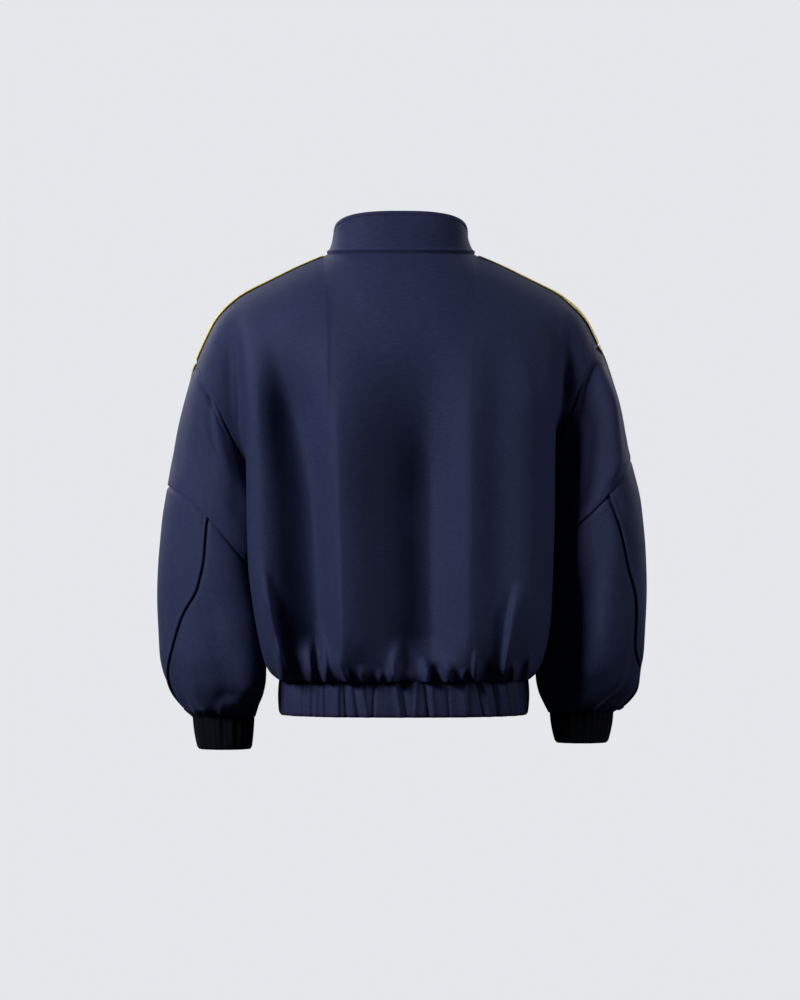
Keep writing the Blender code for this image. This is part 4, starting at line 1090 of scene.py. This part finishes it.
# %% Cuffs
def cuff_points(side):
    """A short oval tube. Its tucks are a slow and a fast sine wave, deepest at the sleeve's end, and its
    foot rolls under."""
    cuff = CUFFS[side]
    angle = np.linspace(0, TURN, 300, endpoint=False)[None, :]
    height = np.linspace(0, 1, 34)[:, None]
    out = cuff.out + (cuff.foot_out - cuff.out) * height**2
    inner = cuff.inner + (cuff.foot_inner - cuff.inner) * height**2
    shift = 0.6 * SIDES[side]
    slow = np.sin(11 * angle + 1.3 * np.sin(3 * angle + shift) + 0.35 * height)
    fast = np.sin(27 * angle + 0.9 * np.sin(5 * angle - shift) - 0.5 * height)
    tuck = (0.0009 * slow + 0.00045 * fast) * (1.1 - 0.45 * height)
    roll = -0.0016 * ease((height - 0.90) / 0.10)**2
    x = (out + inner) / 2 + ((out - inner) / 2 + tuck + roll) * np.cos(angle)
    y = SEAM_Y + (CUFF_DEPTH + tuck + roll) * np.sin(angle)
    z = -(cuff.top + (cuff.bottom - cuff.top) * height)
    return np.stack(np.broadcast_arrays(SIDES[side] * x, y, z), axis=-1)


cuffs = {side: cuff_points(side) for side in SIDES}
for side, hand in SIDES.items():
    cloth(f"cuff_{side}_cloth", cuffs[side], BAND_CLOTH, RIB, closed=True,
          outward=-hand, bevel=0.0009)

# %% Hem band
# at and foot are distances round the band from the centre back, positive to the left; begin and end are
# shares of the band's height.
BAND_TUCKS = [
    Crease(0.168, -0.5, 0.166, 1.6, 0, 0.004, 0.005, -0.0012, 0.9),
    Crease(0.150, -0.5, 0.148, 1.6, 0, 0.003, 0.004, 0.0012, 0.9),
    Crease(0.1315, -0.5, 0.1335, 1.6, 0, 0.0016, 0.0030, -0.0014, 0.9),
    Crease(0.1240, -0.5, 0.1272, 1.6, 0, 0.0018, 0.0026, -0.0010, 0.9),
    Crease(0.1168, -0.5, 0.1192, 1.6, 0, 0.0015, 0.0034, -0.0015, 0.9),
    Crease(0.1070, -0.5, 0.1135, 1.6, 0, 0.0022, 0.0026, 0.0011, 0.9),
    Crease(0.1025, -0.5, 0.1005, 1.6, 0, 0.0026, 0.0018, 0.0012, 0.9),
    Crease(0.0800, -0.5, 0.0812, 1.6, 0, 0.0060, 0.0016, 0.0018, 0.9),
    Crease(0.0755, -0.5, 0.0700, 1.6, 0, 0.0014, 0.0036, -0.0017, 0.9),
    Crease(0.0655, -0.5, 0.0520, 1.6, 0, 0.0026, 0.0040, -0.0015, 0.9),
    Crease(0.0560, -0.5, 0.0400, 1.6, 0, 0.0034, 0.0022, 0.0018, 0.9),
    Crease(0.0338, -0.5, 0.0385, 1.6, 0, 0.0030, 0.0016, -0.0016, 0.9),
    Crease(0.0165, -0.5, 0.0005, 1.6, -0.002, 0.0040, 0.0026, 0.0019, 0.9),
    Crease(0.0080, -0.5, -0.0050, 1.6, -0.002, 0.0018, 0.0046, -0.0015, 0.9),
    Crease(-0.0170, -0.5, -0.0125, 1.6, 0, 0.0024, 0.0030, 0.0014, 0.9),
    Crease(-0.0235, -0.5, -0.0350, 1.6, 0, 0.0030, 0.0016, -0.0017, 0.9),
    Crease(-0.0310, -0.5, -0.0390, 1.6, 0, 0.0018, 0.0030, 0.0014, 0.9),
    Crease(-0.0520, -0.5, -0.0580, 1.6, 0, 0.0024, 0.0020, -0.0013, 0.9),
    Crease(-0.0760, -0.5, -0.0775, 1.6, 0, 0.0080, 0.0014, 0.0017, 0.9),
    Crease(-0.0830, -0.5, -0.1075, 1.6, 0, 0.0016, 0.0040, -0.0017, 0.9),
    Crease(-0.0940, -0.5, -0.1160, 1.6, 0, 0.0036, 0.0020, 0.0016, 0.9),
    Crease(-0.1050, -0.5, -0.1260, 1.6, 0, 0.0020, 0.0034, -0.0015, 0.9),
    Crease(-0.1150, -0.5, -0.1340, 1.6, 0, 0.0034, 0.0018, 0.0015, 0.9),
    Crease(-0.1270, -0.5, -0.1470, 1.6, 0, 0.0018, 0.0036, -0.0015, 0.9),
    Crease(-0.1420, -0.5, -0.1600, 1.6, 0, 0.0036, 0.0020, 0.0014, 0.9),
    Crease(-0.1600, -0.5, -0.1700, 1.6, 0, 0.0024, 0.0036, -0.0012, 0.9),
]
FRONT_BAND_WAVES = ((52, 0.0, 1.9, 0.0009), (97, 1.2, -2.6, 0.0006), (31, 2.2, 0.8, 0.0006))


def band_grid():
    """The band: a rounded-square ring with a slight belly, its tucks pushed out along the cloth, and its
    foot rolled under. Round the front the tucks are three sine waves of unlike lengths."""
    edge = math.asin((ZIP_HALF_GAP / BAND_HALF)**(BAND_POWER / 2))
    raw = np.linspace(0, 1, 1200)
    coarse = band_points(edge + (TURN - 2 * edge) * raw[None, :], 0.0, np.array([[0.0]]))
    run = runs(coarse, 1)[0]
    even = np.interp(np.linspace(0, run[-1], 660), run, raw)
    angle = edge + (TURN - 2 * edge) * even[None, :]
    height = np.linspace(0, 1, 26)[:, None]
    round_from_back = (run[-1] / 2 - np.linspace(0, run[-1], 660))[None, :]
    tucks = creased(BAND_TUCKS, round_from_back, height)
    waves = sum(size * np.sin(count * angle + turn + lean * height + 0.8 * np.sin(5 * angle + turn))
                for count, turn, lean, size in FRONT_BAND_WAVES)
    on_front = ease((np.abs(round_from_back) - 0.150) / 0.040)
    at_zip = ease((run[-1] / 2 - np.abs(round_from_back)) / 0.010)
    belly = 0.0010 * np.sin(math.pi * height)
    roll = -0.0020 * ease((height - 0.91) / 0.09)**2
    amount = (1.7 * tucks + waves * on_front * at_zip) * ease(height / 0.10 + 0.35) + belly + roll
    z = -(BAND_TOP + (BAND_BOTTOM - BAND_TOP) * height)
    return pushed(band_points(angle, 0.0, z), amount, -1)


band = band_grid()
cloth("hem_band_cloth", band, BAND_CLOTH, NAVY, outward=-1, bevel=0.0009)


# %% Collar
NECK_UNDERLAP = 0.0030


def collar_grid():
    """The collar, rolled over at its top edge and thicker along its neck seam, with a groove where the
    topstitching runs."""
    points = collar_points(np.linspace(-1, 1, 361), np.linspace(0, 1, 56))
    points[:, 0, 0], points[:, -1, 0] = ZIP_HALF_GAP, -ZIP_HALF_GAP
    foot, top = from_edge(points, "top"), from_edge(points, "foot")
    amount = groove(top, TOPSTITCH, 0.0011, 0.0009) + groove(top, 0.0, 0.0016, 0.0007)
    amount += 0.0015 * np.exp(-((foot - 0.0044) / 0.0018)**2) + groove(foot, 0, 0.0018, 0.0016)
    turn = np.linspace(-1, 1, 361)[None, :]
    amount += 0.0006 * np.sin(9 * turn + 2 * top / 0.03) * ease(top / 0.012) * ease(foot / 0.010)
    ends = np.minimum(from_edge(points, "start"), from_edge(points, "end"))
    amount += groove(ends, 0.0065, 0.0012, 0.0005)
    return drawn_in(pushed(points, amount, 1), ["top"], -NECK_UNDERLAP)


collar = collar_grid()
cloth("collar_cloth", collar, BAND_CLOTH, NAVY, outward=1, bevel=0.0009)

# %% [markdown]
# ## The yellow tape
# A flat knitted tape is sewn over the shoulder seam and on down the upper sleeve. It is cut out of the
# cloth's own surface, lifted by less than a millimetre, so it follows the seam without touching it. Its
# rear edge wanders from behind the shoulder line to in front of it, as a tape does on a full sleeve.

# %% Stripes
StripeEdge = namedtuple("StripeEdge", "station left right")
STRIPE_EDGES = [
    StripeEdge(1.0, 0.0060, 0.0040), StripeEdge(1.5, 0.0100, 0.0080), StripeEdge(2.0, 0.0140, 0.0150),
    StripeEdge(2.4, 0.0190, 0.0260), StripeEdge(3.0, 0.0160, 0.0240), StripeEdge(3.3, 0.0020, 0.0120),
    StripeEdge(3.8, -0.0140, -0.0060), StripeEdge(6.0, -0.0200, -0.0200),
]


def strip(surface, centre, begin, width, count):
    """A band of even width cut from a grid of points. Distances run down the grid from the centre row,
    and the band starts at begin, given for each column."""
    reached = runs(surface, 0)
    reached = reached - reached[centre]
    share = width * np.linspace(0, 1, count)
    bands = [[np.interp(begin[c] + share, reached[:, c], surface[:, c, axis]) for axis in range(3)]
             for c in range(surface.shape[1])]
    return np.array(bands).transpose(2, 0, 1)


def stripe_grids(side):
    """The tape's two pieces: over the shoulder, and down the upper sleeve to the elbow seam."""
    steps = 60
    across = np.linspace(1.03, 2.985, 90)
    down = 0.4 * np.linspace(0, 1, steps)
    behind = body_points(side, BACK, across, down)
    before = body_points(side, FRONT, across, down)
    shoulder = np.concatenate([before[:0:-1], behind])
    places = np.linspace(0.03, ELBOW - 0.02, 70)
    angles = np.linspace(-1.2, 1.2, 2 * steps - 1)
    sleeve = ring_points(side, places[None, :], angles[:, None])
    stations = {"shoulder": across, "sleeve": ELBOW + places}
    for name, surface in (("shoulder", shoulder), ("sleeve", sleeve)):
        rear = smooth(stations[name], column(STRIPE_EDGES, "station"), column(STRIPE_EDGES, side))
        points = strip(surface, steps - 1, rear - STRIPE_WIDTH, STRIPE_WIDTH, 9)
        rounded = STRIPE_LIFT + 0.0003 * np.sin(math.pi * np.linspace(0, 1, 9))[:, None]
        yield name, pushed(points, rounded + np.zeros(points.shape[:2]), SIDES[side])


for side, hand in SIDES.items():
    for name, points in stripe_grids(side):
        cloth(f"{name}_stripe_{side}_cloth", points, STRIPE_WALL, YELLOW,
              outward=hand, proud=True, bevel=0.0002)

# %% [markdown]
# ## The zip
# A coil of small hard teeth runs from the collar to the hem between two woven tapes, closed all the way up.
# The slider and its pull tab keep the CAD's places. Their blocks become cast shapes here: each block gets
# rounded edges and all of them are melted together by a fine remesh.

# %% Zip tapes
ZIP_DEPTH = 0.0044                  # from the cloth's face back to the middle of the zip
TAPE_EDGES = (0.0034, 0.0160)       # the tape's edges, out from the centre line
TAPE_WALL = 0.0007
SLIDER_DROP = 0.0120
TOOTH_PITCH = 0.0020


def front_line():
    """The zip's line down the centre front, just behind the cloth: collar, body and hem band."""
    collar_line = collar_points([1.0], np.linspace(1, 0, 9))[:, 0]
    body_line = body_points("left", FRONT, [0.0], np.linspace(0.12, 1.84, 40))[:, 0]
    band_line = np.array([[HEM_SHIFT, -BAND_FRONT, -drop]
                          for drop in (BAND_TOP - 0.004, 0.55, BAND_BOTTOM)])
    line = np.concatenate([collar_line, body_line, band_line])
    line[:, 0] = hem_lean(-line[:, 2])
    line[:, 1] += ZIP_DEPTH
    return line


zip_line = front_line()
ZIP_TOP, ZIP_FOOT = -zip_line[0, 2] + 0.003, BAND_BOTTOM - 0.003


def on_line(drops):
    """Places on the zip's line at these drops."""
    x, y = [smooth(drops, -zip_line[:, 2], zip_line[:, axis]) for axis in (0, 1)]
    return np.stack([x, y, -drops], axis=-1)


for side, hand in SIDES.items():
    line = on_line(np.linspace(ZIP_TOP, ZIP_FOOT, 220))
    out = np.sort(hand * np.linspace(*TAPE_EDGES, 7))
    points = line[:, None] + np.stack([out, 0.0022 + 0 * out, 0 * out], axis=-1)[None]
    cloth(f"zip_tape_{side}_cloth", points, TAPE_WALL, TAPE, outward=1, bevel=0.0002)

# %% Zip teeth
def box_mesh(name, middles, halves):
    """One mesh of many boxes, from their middles (n, 3) and their half sizes (3) or (n, 3)."""
    signs = np.array([(x, y, z) for x in (-1, 1) for y in (-1, 1) for z in (-1, 1)])
    corners = middles[:, None] + signs[None] * np.broadcast_to(halves, middles.shape)[:, None]
    sides = np.array([(0, 1, 3, 2), (4, 6, 7, 5), (0, 4, 5, 1), (2, 3, 7, 6), (0, 2, 6, 4), (1, 5, 7, 3)])
    faces = (8 * np.arange(len(middles))[:, None, None] + sides[None]).reshape(-1, 4)
    mesh = bpy.data.meshes.new(name)
    mesh.from_pydata(corners.reshape(-1, 3).tolist(), [], faces.tolist())
    return mesh


def zip_teeth():
    """Teeth from left and right by turns, each reaching just past the middle to hook its neighbours."""
    middles = on_line(np.arange(SLIDER_DROP + 0.003, ZIP_FOOT - 0.009, TOOTH_PITCH / 2))
    middles[:, 0] += np.where(np.arange(len(middles)) % 2, 0.0011, -0.0011)
    return box_mesh("zip_chain_teeth", middles, (0.0019, 0.0009, 0.00036))


teeth = add_piece("zip_chain_teeth", zip_teeth(), METAL, nodes=("zip_chain",))
teeth.data.shade_flat()
rounding = teeth.modifiers.new("rounding", "BEVEL")
rounding.width, rounding.segments = 0.0002, 1
print("zip teeth:", len(teeth.data.polygons) // 6)


# %% Slider, pull tab and bottom stop
def cast(node, body, rows):
    """A small cast piece: overlapping boxes, given by their low and high corners, that a fine remesh melts
    into one and a smoothing rounds off."""
    low, high = np.array(rows).transpose(1, 0, 2)
    piece = add_piece(f"{node}_cast", box_mesh(f"{node}_cast", (low + high) / 2, (high - low) / 2),
                      METAL, body=body, nodes=(node,))
    melt = piece.modifiers.new("melt", "REMESH")
    melt.mode, melt.voxel_size, melt.use_smooth_shade = "VOXEL", 0.00020, True
    soften = piece.modifiers.new("soften", "SMOOTH")
    soften.factor, soften.iterations = 0.5, 3
    print(f"{node}: {len(rows)} blocks melted into one")


(_, arm_y, _), (_, rear_y, _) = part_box("zip_slider")
face_y = arm_y + 0.0037             # the front plate's back, in front of the teeth
z = -SLIDER_DROP
cast("zip_slider", "jacket", [
    ((-0.0040, face_y - 0.0014, z - 0.0065), (0.0040, face_y, z + 0.0055)),
    ((-0.0031, face_y - 0.0014, z - 0.0073), (0.0031, face_y, z + 0.0063)),
    ((-0.0040, rear_y - 0.0012, z - 0.0065), (0.0040, rear_y, z + 0.0055)),
    ((-0.0016, face_y - 0.0006, z + 0.0020), (0.0016, rear_y - 0.0006, z + 0.0050)),
    ((-0.0013, arm_y + 0.0003, z + 0.0026), (0.0013, face_y - 0.0006, z + 0.0038)),
    ((-0.0013, arm_y + 0.0003, z - 0.0038), (0.0013, face_y - 0.0006, z - 0.0026)),
    ((-0.0013, arm_y, z - 0.0038), (0.0013, arm_y + 0.0011, z + 0.0038)),
])

(tab_x, tab_y, tab_z), (_, tab_back, tab_top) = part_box("zip_pull_tab")
cast("zip_pull_tab", "pull_tab", [
    ((tab_x, tab_y, tab_top - 0.0014), (-tab_x, tab_back, tab_top)),
    ((tab_x, tab_y, tab_top - 0.0087), (tab_x + 0.0016, tab_back, tab_top - 0.0005)),
    ((-tab_x - 0.0016, tab_y, tab_top - 0.0087), (-tab_x, tab_back, tab_top - 0.0005)),
    ((tab_x, tab_y, tab_z + 0.0012), (-tab_x, tab_back, tab_top - 0.0065)),
    ((tab_x + 0.0010, tab_y, tab_z), (-tab_x - 0.0010, tab_back, tab_z + 0.0014)),
])

stop_low, stop_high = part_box("zip_bottom_stop")
cast("zip_bottom_stop", "jacket", [(stop_low, stop_high)])

# %% [markdown]
# ## Topstitching
# Rows of small stitches hold the seams flat: under the collar's top edge, beside the sleeves' lengthwise
# seams, along the front edges and along both edges of the yellow tape. Each stitch is a slim pillow of
# thread. All the stitches of a colour are one mesh, and its points come from one formula: the middle of the
# stitch, plus the way along times its length, plus a small ring round it.

# %% Stitch tools
STITCH_PITCH, STITCH_LENGTH = 0.0034, 0.0029
STITCH_WIDTH, STITCH_HEIGHT = 0.00026, 0.00022


def line_along(points, edge, distance, outward):
    """The line on a sheet at this distance from one edge, and the sheet's outward normals there."""
    stack = np.concatenate([points, outward * normals(points)], axis=-1)
    stack = stack if edge in ("top", "foot") else stack.transpose(1, 0, 2)
    stack = stack if edge in ("top", "start") else stack[::-1]
    reached = runs(stack[..., :3], 0)
    after = np.clip(np.argmax(reached > distance, axis=0), 1, None)[None]
    before, beyond = [np.take_along_axis(reached, row, axis=0)[0] for row in (after - 1, after)]
    share = ((distance - before) / (beyond - before))[:, None]
    near, far = [np.take_along_axis(stack, row[..., None], axis=0)[0] for row in (after - 1, after)]
    line = near + (far - near) * share
    return line[:, :3], line[:, 3:]


def stitch_row(line, normal):
    """Points (stitches, rings, 6, 3) of the stitches along one line."""
    reached = runs(line[None], 1)[0]
    at = np.arange(STITCH_PITCH, reached[-1] - STITCH_PITCH, STITCH_PITCH)

    def read(values, where):
        return np.stack([np.interp(where, reached, values[:, axis]) for axis in range(3)], axis=-1)

    middle, up = read(line, at), read(normal, at)
    along = read(line, at + STITCH_LENGTH / 2) - read(line, at - STITCH_LENGTH / 2)
    along /= np.linalg.norm(along, axis=-1, keepdims=True)
    side = np.cross(along, up)
    place = np.sin(np.linspace(-1, 1, 6) * math.pi / 2)[None, :, None, None]
    angle = np.linspace(0, TURN, 6, endpoint=False)[None, None, :, None]
    thick = np.sqrt(np.clip(1.02 - place**2, 0, 1))
    middle, up, along, side = [v[:, None, None] for v in (middle, up, along, side)]
    return (middle + up * (0.5 * STITCH_HEIGHT - 0.00012 * place**2) + along * place * STITCH_LENGTH / 2
            + thick * (side * STITCH_WIDTH * np.cos(angle) + up * STITCH_HEIGHT * np.sin(angle)))


def stitches(name, lines, look):
    """One mesh of all the stitches along these lines, with both ends of each stitch closed."""
    points = np.concatenate([stitch_row(line, normal) for line, normal in lines])
    count, rings, around = points.shape[:3]
    first = (np.arange(count) * rings * around)[:, None, None]
    ring, turn = np.meshgrid(np.arange(rings - 1), np.arange(around), indexing="ij")
    beside = (turn + 1) % around
    quads = np.stack([ring * around + turn, ring * around + beside,
                      (ring + 1) * around + beside, (ring + 1) * around + turn], axis=-1).reshape(1, -1, 4)
    ends = np.stack([np.arange(around)[::-1], (rings - 1) * around + np.arange(around)])[None]
    faces = (quads + first).reshape(-1, 4).tolist() + (ends + first).reshape(-1, around).tolist()
    mesh = bpy.data.meshes.new(name)
    mesh.from_pydata(points.reshape(-1, 3).tolist(), [], faces)
    add_piece(name, mesh, look)
    print(f"{name}: {count} stitches")


# %% Stitches
TAPE_MARGIN = 0.0016                # from the yellow tape's edge to its stitches
navy_lines = [line_along(collar, "foot", TOPSTITCH, 1)]
gold_lines = []
for side, hand in SIDES.items():
    navy_lines.append(line_along(lowers[side, "outer"][6:-4], "start", TOPSTITCH, hand))
    navy_lines.append(line_along(fronts[side][10:-16], "start", FRONT_TOPSTITCH, -hand))
    for name in ("shoulder", "sleeve"):
        tape = grids[f"{name}_stripe_{side}_cloth"]
        for edge in ("top", "foot"):
            line, normal = line_along(tape, edge, TAPE_MARGIN, hand)
            gold_lines.append((line + STRIPE_WALL * normal, normal))
stitches("navy_topstitching", navy_lines, NAVY_THREAD)
stitches("golden_edge_stitching", gold_lines, GOLD_THREAD)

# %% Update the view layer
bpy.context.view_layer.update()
